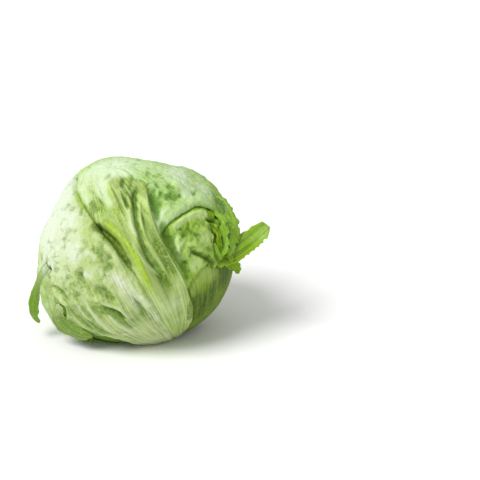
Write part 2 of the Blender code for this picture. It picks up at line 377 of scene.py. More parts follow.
# What every layer follows
sharedRelief = [
    # the hollow under the left leaf's margin
    ridge(-9.0, (2.8, 3.4), [(121, -13.5), (116, -10.5), (111, -7.4), (107, -5.6), (103, -4.6),
                             (98, -3.8)], (0.2, 0.5)),
    ridge(-4.0, (2.0, 3.4), [(110, -6), (105, -4), (99, -3.2), (93, -2.4), (86, -1.6)], 0.3),
    ridge(-0.8, (1.0, 1.4), [(150, -32), (143, -23.7), (135, -18.3), (127, -14.8), (121, -11.5)],
          (0.1, 0.2)),
    # grooves between the front leaf's pleats
    *ridges(-1.6, 0.9, 0.3,
            [(147, -14), (139, -8), (131, -4), (124, -1.4)], [(140, 6), (131, 8.4), (123, 8), (114, 7)],
            [(118, 19), (110, 15.4), (103, 13.4), (94, 13.2)]),
    ridge(-2.6, 1.8, [(145, 26), (142, 22), (136, 15.3), (129, 12.3), (122, 11.4), (117, 9.5)],
          (0.3, 0.2)),
    ridge(-1.6, 1.5, [(140, 31), (137, 26), (129, 16.6)], 0.3),
    ridge(-3.4, (2.0, 2.2), [(133, 27), (130, 24.3), (125, 18), (118, 14.5), (112, 12), (106, 10.7),
                             (101, 9.4), (94, 8.3), (87, 8.6), (80, 9.6), (70, 11), (58, 13)],
          (0.15, 0.4)),
    ridge(-2.6, (1.8, 2.0), [(122, 23), (118, 20), (111, 16), (104, 14.6), (96, 14.6), (89, 15), (81, 16),
                             (72, 17.5), (62, 18.5)], (0.2, 0.4)),
    ridge(-1.4, 3.5, [(134, -11), (129, -8), (126, -6)], 0.4),
    ridge(-1.3, 1.8, [(152, 17.5), (150, 14.7), (146, 7.2), (143, 3)], (0.3, 0.4)),
    # beside the front leaf's free margin
    ridge(-2.8, (4.0, 3.0), [(127, 35), (121, 29), (115, 26), (108, 24), (101, 23), (95, 23), (89, 23.2),
                             (83, 24), (76, 25), (68, 26), (58, 26)], (0.15, 0.3)),
    # pits in the crown leaf, and smaller dents
    *pits(1.7, 1.5, (126, 31), (123.5, 33), (121, 30), (118, 32), (120, 37), (117, 41), (115, 36),
          (113.5, 46), (124, 38), (121.5, 46.5), (112, 40), (109.5, 57), (114, 30), (129, 33)),
    *pits(1.3, 1.4, (96, 36), (94.5, 41), (92, 34), (90, 40), (93, 45), (88, 36), (97, 31), (91, 29.5),
          (86, 40), (97, 46), (83, 42), (88, 45), (79, 27), (73, 33)),
    ridge(-2.0, 2.4, [(124, 27), (119, 28), (115, 28.5), (112, 26)], 0.3),
    ridge(-1.8, 2.0, [(120, 33), (118, 36.5)], 0.4),
    ridge(-1.9, 1.8, [(122.5, 42), (120, 46)], 0.4),
    ridge(-2.3, 2.1, [(118.5, 36), (115.5, 39), (113, 44), (111, 48)], 0.3),
    ridge(-1.6, 1.8, [(110.5, 53), (109.5, 57)], 0.5),
    ridge(-1.0, 1.6, [(104, 60), (100, 66)], 0.5),
    # the crease under the crown leaf's margin
    ridge(-1.1, (0.9, 1.4), [(98, 21.5), (101.3, 27), (102.4, 34), (103, 41), (103, 47), (102.6, 50.5),
                             (100.3, 55.7), (97.6, 60.4), (94.5, 64.2), (90, 67)], (0.05, 0.2)),
    ridge(-1.6, (2.6, 2.0), [(95, 22), (99, 24), (101, 28)], (0.3, 0.4)),
    # the hole and the dents in the folded leaf, and its overhang at the bottom
    ridge(-3.0, (1.3, 1.6), [(96, 50), (93, 53.5), (91, 57), (88.5, 61)], (0.25, 0.35)),
    ridge(-3.4, (1.8, 2.2), [(91, 52.6), (87.5, 53), (84, 54), (80, 53)], 0.3),
    ridge(-1.3, 1.6, [(97.5, 38), (96.5, 40)], 0.5),
    ridge(-1.2, 1.8, [(93.5, 31), (92, 34)], 0.5),
    ridge(-1.3, 1.8, [(88, 37.5), (86.5, 41)], 0.5),
    ridge(-3.2, (1.1, 1.7), [(87, 30), (84, 32.5), (80, 36), (77, 39.5), (73.5, 43), (70, 46.5), (66, 50)],
          (0.3, 0.2)),
    # between the hanging folds at the right
    ridge(-2.0, 9.0, [(104, 72), (95, 74), (86, 74), (78, 70)], 0.3),
    ridge(-2.4, 1.3, [(96, 70), (90, 67.5), (85, 65), (79, 60.5), (75, 56.5)], (0.3, 0.2)),
    # the lens-shaped hollow and the folds low on the left leaf
    ridge(-3.6, (1.5, 1.7), [(76, -27), (72.5, -24.6), (69, -22), (65.5, -20), (62.5, -18.8)], (0.3, 0.2)),
    ridge(-1.1, 2.8, [(88, -26.6), (84, -23.6), (79.3, -20.4), (75.8, -17.6)], 0.3),
    ridge(-2.2, 2.2, [(71, -47), (69, -45), (63, -43.2), (58, -41.8), (50, -35.8), (44, -30)], (0.2, 0.4)),
    ridge(-1.8, 2.2, [(96, -59), (94, -56), (90, -50.7), (87, -48.7), (83, -45)], (0.3, 0.4)),
    ridge(-1.2, 3.6, [(91, -29), (88, -26), (84, -22), (79, -18.6)], 0.4),
    ridge(-1.2, 2.4, [(97, -29), (94, -32)], 0.5),
    ridge(-1.2, 1.8, [(78, -10), (66, -7), (52, -5)], (0.3, 0.4)),
    ridge(-3.0, 2.6, [(76, -71.5), (74, -70.5), (68, -66), (62, -61.7), (57, -55.3)], (0.2, 0.3)),
    ridge(-1.6, 1.5, [(106, -53), (103.5, -56.5), (101, -60.5), (98.5, -64)]),
]

# What each leaf adds to that where it shows
ownRelief = {
    "outer_leaf_left": [
        ridge(4.5, (8.0, 4.0), [(121, -14.5), (115, -12), (107, -8.4), (101, -6.8), (95, -5.6), (90, -4.4),
                                (84, -3.4)], (0.3, 0.35)),
        ridge(0.8, 1.4, [(158, -42), (150, -31.5), (143, -25), (135, -19.6), (127, -16.2), (121, -13)],
              (0.1, 0.2)),
        ridge(2.0, (2.0, 2.6), [(87, -37), (83, -35.4), (75, -35.7), (66, -36.3), (56, -35), (46, -30),
                                (38, -24)], (0.2, 0.4)),
        ridge(2.0, (1.5, 2.4), [(85, -34), (82.7, -32), (79.3, -27), (75.2, -23.4), (71.7, -20),
                                (67.6, -17.6), (61, -18), (54, -16)], (0.2, 0.3)),
        ridge(1.4, (1.8, 2.2), [(92, -36), (88.6, -33.8), (82, -31), (72.5, -27.7), (60.6, -27.2),
                                (47.4, -25.9)], 0.3),
        ridge(1.2, 2.6, [(96, -43), (92, -40), (86, -34.6), (80, -29.7)], 0.3),
        ridge(1.6, 2.4, [(84, -58), (78, -55), (70, -52), (62, -49), (54, -42), (46, -34)], (0.3, 0.4)),
        ridge(1.4, 2.0, [(84, -14), (74, -12), (60, -10), (48, -9), (36, -9)], 0.3),
        ridge(1.3, 1.4, [(86, -2.6), (80, -2.2), (73, -1.8), (64, -0.6), (52, 0)], (0.3, 0.4)),
        ridge(1.4, 2.6, [(104, -58), (99, -63), (95, -70)], 0.3),
        ridge(-1.6, 1.4, [(95, -71), (90, -64.5), (85, -58)]),
    ],
    "outer_leaf_front": [
        ridge(6.0, (4.2, 3.6), [(123, -11), (119, -7.4), (115, -4.2), (111, -1.6), (107, 0.2), (103, 1.6),
                                (98, 2.8), (92, 3.4), (85, 3.6), (78, 3.8), (70, 4.4), (58, 5.4),
                                (46, 6.4)], (0.1, 0.5), 1.5),
        ridge(1.4, 1.0, [(103, 3.4), (99.4, 4.4), (94.7, 5.2), (90, 6), (85, 7.6), (79.7, 10), (74, 12)],
              (0.2, 0.3)),
        ridge(3.0, (2.0, 5.0), [(129, 30.5), (126, 28), (121, 24.8), (116, 21.8), (110, 19.6), (104, 18.4),
                                (98, 18), (91, 18.3), (85, 19), (79, 19.9), (73, 21), (67, 21.6), (60, 22),
                                (52, 23)], (0.12, 0.4)),
        ridge(1.8, 4.0, [(149, 10), (142, 8.5), (131, 4.4), (121, 3.4)], 0.3),
        ridge(2.2, 1.6, [(139, 17.5), (131, 13.6), (124, 13.8), (116, 10.4), (110, 8), (104, 8),
                         (98, 6.8)], (0.2, 0.3)),
        ridge(1.8, (2.0, 1.4), [(137, 14.5), (131, 11), (125, 9.6), (118, 8.8), (111, 6.8)], (0.2, 0.3)),
        ridge(2.0, 2.2, [(126, 21.5), (118, 17.5), (110, 14), (104, 13), (96, 13), (88, 13.5), (80, 14.5),
                         (70, 16), (56, 17)], (0.2, 0.4)),
        ridge(1.4, 2.6, [(150, -20), (140, -12), (134, -3)], (0.3, 0.4)),
        *ridges(1.2, 1.1, 0.3,
                [(146, -8), (138, -4), (130, -1), (122, 1), (112, 3)],
                [(148, 8), (138, 7), (128, 6), (118, 5)], [(134, 2), (126, 3), (118, 6), (110, 5.4)],
                [(120, 15.6), (112, 12.6), (104, 11.8), (94, 11.6), (84, 12.4)],
                [(104, 6), (96, 8), (86, 10), (74, 12.6), (60, 14.6)],
                [(112, 18), (104, 16.6), (96, 16.6), (86, 17.6)]),
    ],
    "crown_leaf": [
        ridge(1.8, (2.0, 2.4), [(103, 20), (104.5, 22.5), (108, 27), (109.8, 32), (111, 38)], (0.2, 0.4)),
        ridge(1.6, (4.0, 2.4), [(104, 27), (106, 35), (106.5, 43), (106.2, 50), (103, 57), (99.5, 63),
                                (95.5, 69)], (0.15, 0.2)),
        ridge(2.0, 3.6, [(124, 50), (118, 49.5), (114, 52)], 0.4),
        ridge(1.4, 2.6, [(112, 33), (114, 35.5)], 0.5),
        ridge(1.6, 4.0, [(128, 34), (125, 37)], 0.4),
        # the hanging folds
        ridge(2.2, 1.5, [(98, 64), (92, 63.5), (87, 62.5), (82, 61), (77, 57.5), (73, 54.5)], (0.3, 0.15)),
        ridge(1.8, 1.8, [(99, 76), (93, 73.5), (87, 70), (82, 67), (77, 62.5), (72, 58)], (0.3, 0.15)),
        ridge(1.2, 2.4, [(98, 90), (90, 88), (83, 84), (76, 76), (72, 66)], (0.3, 0.15)),
    ],
    "folded_leaf_right": [
        ridge(1.8, (1.8, 2.2), [(98.5, 25.4), (100, 30), (100.6, 36), (100.8, 44), (99.2, 51),
                                (95.5, 56)]),
        ridge(2.4, (3.6, 2.2), [(90, 31), (87, 33), (83, 36), (79.5, 39), (76, 43), (72, 47)], (0.3, 0.2)),
        ridge(1.8, 3.0, [(95, 47), (90, 46), (85, 47)], 0.3),
        ridge(1.2, 1.4, [(95, 29), (89, 26.5), (83, 25)], 0.3),
        ridge(1.5, 1.5, [(94, 51), (91, 51), (86, 50), (81.5, 51), (77, 49.5), (73, 48)]),
    ],
    "torn_leaf_right": [
        ridge(2.2, 1.6, [(93, 62), (88.5, 61), (84, 59.5), (79, 58), (74, 56)], (0.2, 0.25)),
        ridge(2.0, 1.4, [(92, 58), (88, 56), (83, 57), (78, 55)], (0.2, 0.25)),
        ridge(2.6, 2.2, [(80, 66), (74, 63), (68, 60)], 0.3),
    ],
    "inner_leaf_right": [
        ridge(1.4, 3.0, [(84, 27), (78, 28), (70, 33), (60, 33), (48, 30)], (0.3, 0.4)),
        ridge(1.2, 2.0, [(72, 42), (62, 44), (50, 42)], (0.3, 0.4)),
    ],
    "outer_leaf_low_left": [
        ridge(1.5, 2.5, [(80, -74), (70, -70), (60, -66)], 0.3),
    ],
}

# Each leaf's own look, in mm: the spacing of its mesh, how far its margin is lifted and how ragged it is,
# and the heights of its blisters, ribs, crinkles and dents. The margin is lifted between two angles from
# the stem, in degrees
backLook = {"spacing": 1.3, "ragged": 1.6, "raggedSize": 8, "lift": 1.3, "blisters": 0.5, "ribHeight": 1.0,
            "crinkle": 0.6, "dents": 0.6}
leafLooks = {
    "inner_leaf_back": {"spacing": 1.8, "ragged": 1.5, "raggedSize": 9, "blisters": 0.5},
    "inner_leaf_right": {"spacing": 1.25, "blisters": 0.12, "ribHeight": 0.5, "crinkle": 0.3},
    "torn_leaf_right": {"spacing": 0.8, "lift": 1.2, "ragged": 2.2, "raggedSize": 2.8, "blisters": 0.7,
                        "crinkle": 1.6},
    "folded_leaf_right": {"spacing": 0.85, "lift": 0.8, "liftFrom": 74, "ragged": 1.3, "raggedSize": 2.2,
                          "blisters": 0.4, "crinkle": 1.0, "dents": 0.7},
    "crown_leaf": {"spacing": 0.95, "lift": 0.3, "ragged": 0.5, "raggedSize": 2.8, "blisters": 0.3,
                   "crinkle": 0.5, "dents": 0.5},
    "outer_leaf_back_left": backLook,
    "outer_leaf_low_left": {"spacing": 1.2, "ragged": 1.2, "blisters": 0.4, "crinkle": 0.8},
    "outer_leaf_back_right": backLook,
    "outer_leaf_front": {"spacing": 0.8, "liftTo": 140, "ragged": 0.15, "blisters": 0.15, "ribHeight": 1.1,
                         "crinkle": 0.25, "dents": 0.2},
    "outer_leaf_back": backLook,
    "outer_leaf_left": {"spacing": 0.85, "lift": 0.6, "liftFrom": 75, "liftTo": 140, "ragged": 0.25,
                        "blisters": 0.35, "ribHeight": 0.9, "crinkle": 0.6, "dents": 0.8},
    "outer_leaf_underside": {"spacing": 1.3, "lift": 1.2, "ragged": 2.0, "raggedSize": 6, "blisters": 0.5,
                             "crinkle": 1.0},
}
leafDefaults = {"thickness": 0.8, "lift": 0.8, "liftFrom": 20, "liftTo": 200, "liftReach": 6,
                "ragged": 0.5, "raggedSize": 7, "blisters": 0.25, "ribHeight": 0.6, "crinkle": 0.4,
                "dents": 0.4}

# The heart's face, and how far each leaf covers what lies under it
heartFace = np.full(grid.points.shape[:-1], head["radius"])
for place, height, width in head["swellings"]:
    heartFace += height * bump(grid.points, unit(place), width)
for size, height in head["bumpiness"]:
    heartFace += height * softNoise(grid.points * head["radius"], size, head["bumpinessSeed"])
sharedHeight = reliefOf(sharedRelief)
heartFace += sharedHeight
room = head["roomBlend"]
heartFace -= head["leafStep"] * sum(ramp(leaf.inside, -room, room) for leaf in stack)
covers = [ramp(leaf.inside, -head["heldPast"] - head["fallsOver"], -head["heldPast"]) for leaf in stack]
floorRoom = floorDistance(grid.points) - head["leafStep"] * sum(covers)
heartFace = lowerOf(heartFace, floorRoom, head["floorBlend"])
print("layers laid")


def verticesOf(piece):
    spots = np.empty(len(piece.data.vertices) * 3)
    piece.data.vertices.foreach_get("co", spots)
    return spots.reshape(-1, 3)


def moveVertices(piece, positions):
    piece.data.vertices.foreach_set("co", np.asarray(positions, float).ravel())
    piece.data.update()


def store(piece, name, values):
    values = np.asarray(values, float)
    kind = "FLOAT_VECTOR" if values.ndim == 2 else "FLOAT"
    made = piece.data.attributes.new(name, kind, "POINT")
    made.data.foreach_set("vector" if values.ndim == 2 else "value", values.ravel())


def deleteSelected():
    bpy.ops.object.mode_set(mode="EDIT")
    bpy.ops.mesh.delete(type="VERT")
    bpy.ops.mesh.select_all(action="SELECT")
    bpy.ops.mesh.delete_loose()
    bpy.ops.object.mode_set(mode="OBJECT")


def select(piece, chosen):
    bpy.context.tool_settings.mesh_select_mode = (True, False, False)
    for kind in (piece.data.polygons, piece.data.edges):
        kind.foreach_set("select", np.zeros(len(kind), bool))
    piece.data.vertices.foreach_set("select", chosen)


def marginVertices(piece):  # the vertices on a sheet's open edge
    shape = bmesh.new()
    shape.from_mesh(piece.data)
    margin = np.array([vertex.is_boundary for vertex in shape.verts])
    shape.free()
    return margin


def inOnePiece(piece):  # without scraps, and without points where the margin touches itself
    shape = bmesh.new()
    shape.from_mesh(piece.data)
    pinched = True
    while pinched:
        pinched = [point for point in shape.verts if sum(edge.is_boundary for edge in point.link_edges) > 2]
        bmesh.ops.delete(shape, geom=pinched, context="VERTS")
    unseen = set(shape.faces)
    islands = []
    while unseen:
        island, waiting = set(), [unseen.pop()]
        while waiting:
            face = waiting.pop()
            island.add(face)
            for edge in face.edges:
                waiting += [other for other in edge.link_faces if other in unseen]
                unseen -= set(edge.link_faces)
        islands.append(island)
    largest = max(islands, key=len)
    scraps = [face for face in shape.faces if face not in largest]
    bmesh.ops.delete(shape, geom=scraps, context="FACES")
    bare = [point for point in shape.verts if not point.link_faces]
    bmesh.ops.delete(shape, geom=bare, context="VERTS")
    shape.to_mesh(piece.data)
    shape.free()


# How a sheet is cut: its margin wanders at two sizes, vertices too far outside go, and those left on the
# open edge step onto the outline
sheetCut = {"fineShare": 0.7, "fineSize": 0.45, "dropped": 0.45, "steps": 3, "probe": 0.1 * mm,
            "leastSlope": 0.5}


def cutSheet(leaf, spacing, ragged, raggedSize, seed):
    def cutDistance(spots):
        solid = np.column_stack([spots, np.zeros(len(spots))])
        wander = softNoise(solid, raggedSize, seed + 40)
        wander += sheetCut["fineShare"] * softNoise(solid, raggedSize * sheetCut["fineSize"], seed + 41)
        return leaf.edgeDistance(spots) + ragged * wander

    low, high = leaf.outline.min(0) - 2 * ragged, leaf.outline.max(0) + 2 * ragged
    count = np.ceil((high - low) / spacing).astype(int)
    bpy.ops.object.select_all(action="DESELECT")
    bpy.ops.mesh.primitive_grid_add(x_subdivisions=int(count[0]), y_subdivisions=int(count[1]), size=2)
    piece = bpy.context.object
    piece.name = piece.data.name = "visual_" + leaf.name
    spots = (low + high) / 2 + verticesOf(piece)[:, :2] * (high - low) / 2
    moveVertices(piece, np.column_stack([spots, np.zeros(len(spots))]))
    select(piece, cutDistance(spots) < -sheetCut["dropped"] * spacing)
    deleteSelected()
    inOnePiece(piece)
    spots = verticesOf(piece)[:, :2]
    margin = marginVertices(piece)
    edge = spots[margin]
    step = sheetCut["probe"]
    for _ in range(sheetCut["steps"]):
        here = cutDistance(edge)
        slope = np.stack([cutDistance(edge + aside) - here for aside in ((step, 0), (0, step))], -1) / step
        slope /= np.maximum((slope**2).sum(1), sheetCut["leastSlope"])[:, None]
        edge = edge - np.clip(here, -spacing, spacing)[:, None] * slope
    spots[margin] = edge
    return piece, spots, np.maximum(cutDistance(spots), 0)


# Patterns on every leaf. Ranges of angles from the stem say where a pattern grows to its full height or
# fades, and the shifts keep two leaves from showing the same pattern
patterns = {
    "placeShift": 0.13, "fanShift": 1.7, "ribShift": 3.1,
    "warpSize": 30 * mm, "warp": 0.25,
    "ribWarp": 0.15, "ribCount": 9, "ribsAlong": 2.0, "ribSize": 0.55, "ribShares": (0.6, 0.4),
    "ribFiner": (2.3, 1.2, 1),
    "ribSharpness": 2.6, "ribFade": (50, 120), "ribHeightFade": (40, 110),
    "netSize": 7.5 * mm, "netWarp": 0.35, "netWarpSize": 9 * mm, "netWidth": 0.35, "blisterWidth": 0.8,
    "blisterRange": (35, 80), "bumps": 0.5 * mm, "bumpSize": 6 * mm, "crinkleRange": (55, 85),
    "dentSize": 4.5 * mm, "dentSteepness": (0.22, 0.70), "dentRange": (70, 95),
    "calmMargin": 3 * mm, "liftRange": 20, "dropRange": 12, "flushMargin": 4 * mm, "liftUneven": 14 * mm,
    "tuck": 0.8 * head["leafStep"], "tuckRange": (20, 30), "rimWidth": 1.4 * mm, "foldHeight": 3 * mm,
}


def storePlaces(piece, spots, fan, reach, seed):  # where the finish looks up its patterns
    shifts = [np.full(len(spots), seed * patterns[key]) for key in ("placeShift", "fanShift")]
    store(piece, "leafPlace", np.column_stack([spots, shifts[0]]))
    store(piece, "leafFan", np.column_stack([fan, reach, shifts[1]]))


def makeLeaf(leaf, finish):
    look = {**leafDefaults, **leafLooks[leaf.name]}
    seed = leafNames.index(leaf.name)
    cut = [look[key] * mm for key in ("spacing", "ragged", "raggedSize")]
    piece, spots, inside = cutSheet(leaf, *cut, seed)
    points = leaf.unflat(spots)
    polar, around = headAngles(points)
    face = heartFace + head["leafStep"] * (1 + sum(covers[:seed], grid.zeros()))
    ceiling = floorDistance(grid.points) - head["leafStep"] * sum(covers[seed + 1:], grid.zeros())
    hidden = np.maximum.reduce([grid.zeros() - 1] + [above.inside for above in stack[seed + 1:]])
    shown = 1 - ramp(hidden, *head["hiddenRange"])
    own = reliefOf(ownRelief.get(leaf.name, []))
    radius, ceiling, shown, own = (grid.sample(values, points) for values in (face, ceiling, shown, own))
    atEdge = 1 - smooth(inside / (look["liftReach"] * mm))
    solid = points * head["radius"]

    # ribs fan out from the stem, and a net of veins lies between them
    fan = np.radians(around - headAngles(leaf.middle)[1])
    fan = np.arctan2(np.sin(fan), np.cos(fan))
    reach = polar / 90
    warp = patterns["warp"] * softNoise(solid, patterns["warpSize"], seed + 2)
    fanSpots = np.stack([(fan + patterns["ribWarp"] * warp) * patterns["ribCount"],
                         reach * patterns["ribsAlong"] + warp,
                         np.full_like(fan, seed * patterns["ribShift"])], -1)
    broad, finer = (softNoise(where, patterns["ribSize"], seed + 5 + index) * patterns["ribShares"][index]
                    for index, where in enumerate((fanSpots, fanSpots * patterns["ribFiner"])))
    ribs = np.clip(1 - np.abs(broad + finer) * patterns["ribSharpness"], 0, 1)
    ribs *= 1 - 0.5 * ramp(polar, *patterns["ribFade"])
    netWarp = np.stack([softNoise(solid, patterns["netWarpSize"], seed + k) for k in (11, 12)], -1)
    first, second = cellNet(spots / patterns["netSize"] + patterns["netWarp"] * netWarp, seed)
    net = 1 - smooth((second - first) / patterns["netWidth"])
    blister = smooth((second - first) / patterns["blisterWidth"])

    relief = look["ribHeight"] * mm * ribs * (1 - 0.6 * ramp(polar, *patterns["ribHeightFade"]))
    relief += look["blisters"] * mm * blister * ramp(polar, *patterns["blisterRange"])
    relief += patterns["bumps"] * (1 + softNoise(solid, patterns["bumpSize"], seed + 20)) / 2
    crinkle = crinkled(solid, seed + 22)
    relief += look["crinkle"] * mm * crinkle * ramp(polar, *patterns["crinkleRange"])
    dents = ramp(softNoise(solid, patterns["dentSize"], seed + 24), *patterns["dentSteepness"])
    dents = look["dents"] * mm * dents * ramp(polar, *patterns["dentRange"])
    relief += look["dents"] * mm - dents
    calm = ramp(inside, 0, patterns["calmMargin"])
    relief *= 0.25 + 0.75 * calm

    # where the margin isn't lifted it is tucked flush into the layer under it
    lifted = ramp(polar, look["liftFrom"], look["liftFrom"] + patterns["liftRange"])
    lifted = lifted * ramp(polar, look["liftTo"], look["liftTo"] - patterns["dropRange"])
    flush = lifted + (1 - lifted) * ramp(inside, 0, patterns["flushMargin"])
    own, relief = own * flush, relief * flush
    uneven = 0.75 + 0.5 * softNoise(solid, patterns["liftUneven"], seed + 32)
    edge = look["lift"] * mm * atEdge * uneven * lifted
    edge -= patterns["tuck"] * (1 - lifted) * (1 - calm) * ramp(polar, *patterns["tuckRange"])
    radius = np.minimum(radius + shown * (own + relief) + edge, ceiling)
    moveVertices(piece, points * radius[:, None] + centre)

    storePlaces(piece, spots, fan, reach, seed)
    store(piece, "rib", ribs)
    store(piece, "net", net)
    store(piece, "rim", (1 - smooth(inside / patterns["rimWidth"])) * lifted)
    store(piece, "tint", grid.sample(tintsOf(leafTints.get(leaf.name, [])), points))
    wrinkle = look["crinkle"] * mm * (crinkle - 0.35) - 1.5 * dents
    folded = grid.sample(sharedHeight, points) + shown * own + wrinkle
    store(piece, "fold", np.clip(folded / patterns["foldHeight"], -1, 1))
    thicken(piece, look["thickness"] * mm)
    lobes = [makeStrip(leaf, number, strip) for number, strip in enumerate(looseStrips.get(leaf.name, []))]
    for one in lobes + [piece]:
        one.select_set(True)
    bpy.context.view_layer.objects.active = piece
    if lobes:
        bpy.ops.object.join()
    finishPiece(piece, leaf.name, finish)


# Lobes that stand off the head: a spine of places with their distance from the centre in mm, widths along
# it, the way it faces, how much its cross-section bends and how it turns along the spine, in degrees, how
# ragged its edges are, and its tint as in leafTints; the tip's may differ
looseStrips = {
    "torn_leaf_right": [
        {
            "spine": [(70, 54, 76), (70.9, 62.6, 84), (73.4, 68.4, 91.4), (75.5, 72.8, 97.6),
                      (77.4, 76.5, 103.8), (78.9, 79.6, 109)], "widths": (14, 19, 20, 19, 18, 16, 9),
            "faces": (-0.1, -0.9, 0.45), "bend": 45, "turn": (0, 0, -10, -10), "ragged": 0.13,
            "tint": (-0.4, 0.2, 0.2),
        },
        {
            "spine": [(69, 58, 78), (64, 62, 84), (60, 65.5, 87), (57, 68, 87)], "widths": (9, 10, 8, 3),
            "faces": (0.2, -0.9, 0.2), "bend": 70, "turn": (0, 20), "ragged": 0.3,
            "tint": (0.2, 0.3, -0.2),
        },
        {
            "spine": [(91, 52, 81), (85, 53.4, 83.4), (79, 51.4, 84), (73, 50.7, 83)],
            "widths": (3, 4, 4, 2), "faces": (0.5, -0.8, 0.2), "bend": 70, "turn": (0, 30), "ragged": 0.45,
            "tint": (0.4, 1.4, -0.5),
        },
        {
            "spine": [(76, 60, 82), (73, 58.6, 85), (69, 58.6, 87), (66, 60, 86)], "widths": (7, 9, 7, 3),
            "faces": (0.4, -0.8, 0.3), "bend": 80, "turn": (0, -20), "ragged": 0.35, "tint": (0, 0.4, 0.2),
        },
    ],
    "crown_leaf": [
        {
            "spine": [(96, 62.5, 82), (92, 60.5, 84.6), (87.5, 59.8, 85.6), (82, 59, 85.8), (77, 55, 85.4),
                      (72.5, 49.5, 84.5)], "widths": (3, 6, 8, 8, 6, 3), "faces": (0.4, -0.8, 0.45),
            "bend": 45, "turn": (0, 20), "ragged": 0.5, "tint": (0, 1.6, -0.5),
        },
        {
            "spine": [(91, 72, 83), (85, 69.8, 86.5), (79.7, 66, 87.4), (75.2, 60.2, 87), (70, 57.5, 86)],
            "widths": (4, 7, 9, 8, 4), "faces": (0.5, -0.75, 0.4), "bend": 45, "turn": (0, -20),
            "ragged": 0.5, "tint": (0.3, 1.4, -0.5),
        },
        {
            "spine": [(102, 74, 82), (98, 74.5, 85), (94.4, 74.5, 86), (88.4, 72.5, 87.2),
                      (82.5, 69, 87.2), (76.7, 66, 86.8), (72, 61, 85.6)], "widths": (2, 5, 6, 7, 7, 6, 3),
            "faces": (0.6, -0.65, 0.45), "bend": 45, "turn": (0, 10), "ragged": 0.6,
            "tint": (0, 1.6, -0.5),
        },
        {
            "spine": [(81, 48, 84), (76, 47.6, 85.4), (71, 49, 84.8)], "widths": (2, 4, 2),
            "faces": (0.3, -0.85, 0.3), "bend": 80, "turn": (0, 20), "ragged": 0.4,
            "tint": (0.4, 1.5, -0.5),
        },
    ],
    "outer_leaf_left": [
        {
            "spine": [(104.5, -55.7, 80.6), (101.3, -61.1, 83), (97.4, -70, 85), (93.4, -77.3, 88.4),
                      (88.8, -81.1, 93.4), (85, -82.1, 97.2), (81.5, -82, 99), (78.4, -80.4, 98.4)],
            "widths": (13, 14, 12, 9, 9, 11, 11, 3), "faces": (-0.5, -0.85, 0.15), "bend": 60,
            "turn": (0, 0, 0, 10), "ragged": 0.08, "tint": (0.3, 0.3, 0.7), "tipTint": (1.3, 1.1, -0.7),
        },
        {
            "spine": [(99.9, -57.5, 82), (97, -60.4, 83.4), (92.8, -64.9, 84.4), (88, -66.8, 85.9),
                      (83, -68.4, 87.3), (78.4, -69.8, 88.6), (73.2, -71.7, 90.4)],
            "widths": (9, 13, 18, 21, 20, 14, 4), "faces": (-0.66, -0.74, 0.1), "bend": 60, "ragged": 0.06,
            "tint": (0.1, 0.6, 0.45), "tipTint": (0.3, 0.9, 0.2),
        },
        {
            "spine": [(82, -59, 81.5), (79.5, -63.5, 84.6), (76, -66.5, 86.6), (71.5, -66, 87),
                      (67, -63, 86.6), (63, -58, 85.6), (59, -52, 83.6)],
            "widths": (6, 12, 16, 17, 14, 10, 3), "faces": (-0.45, -0.88, -0.1), "bend": 50,
            "ragged": 0.14, "tint": (0, 0.3, 0.7), "tipTint": (2.4, 0.3, -1.0),
        },
    ],
    "outer_leaf_low_left": [
        {
            "spine": [(84, -60, 80), (78, -64, 82.6), (73, -66.5, 84.6), (68.5, -69.5, 85.6),
                      (64, -70, 85.4), (59, -67, 84.6), (54, -62.6, 83.6)],
            "widths": (5, 8, 10, 11, 10, 8, 3), "faces": (-0.4, -0.88, -0.2), "bend": 70, "ragged": 0.3,
            "tint": (0.5, 0.6, 0),
        },
    ],
}
# What is the same for all of them; the fan is where the finish takes its streaks from
stripForm = {
    "spacing": 1.0 * mm, "cell": 0.8 * mm, "leastCells": 6, "thickness": 0.8 * mm, "overFloor": 0.4 * mm,
    "sideShift": 9 * mm, "edgeSizes": (5 * mm, 2 * mm), "edgeShares": (0.7, 0.6), "waves": 0.5 * mm,
    "waveSize": 5 * mm, "fanWidth": 30 * mm, "fanStart": 0.25, "fanLength": 0.3, "rimFrom": 0.75,
}


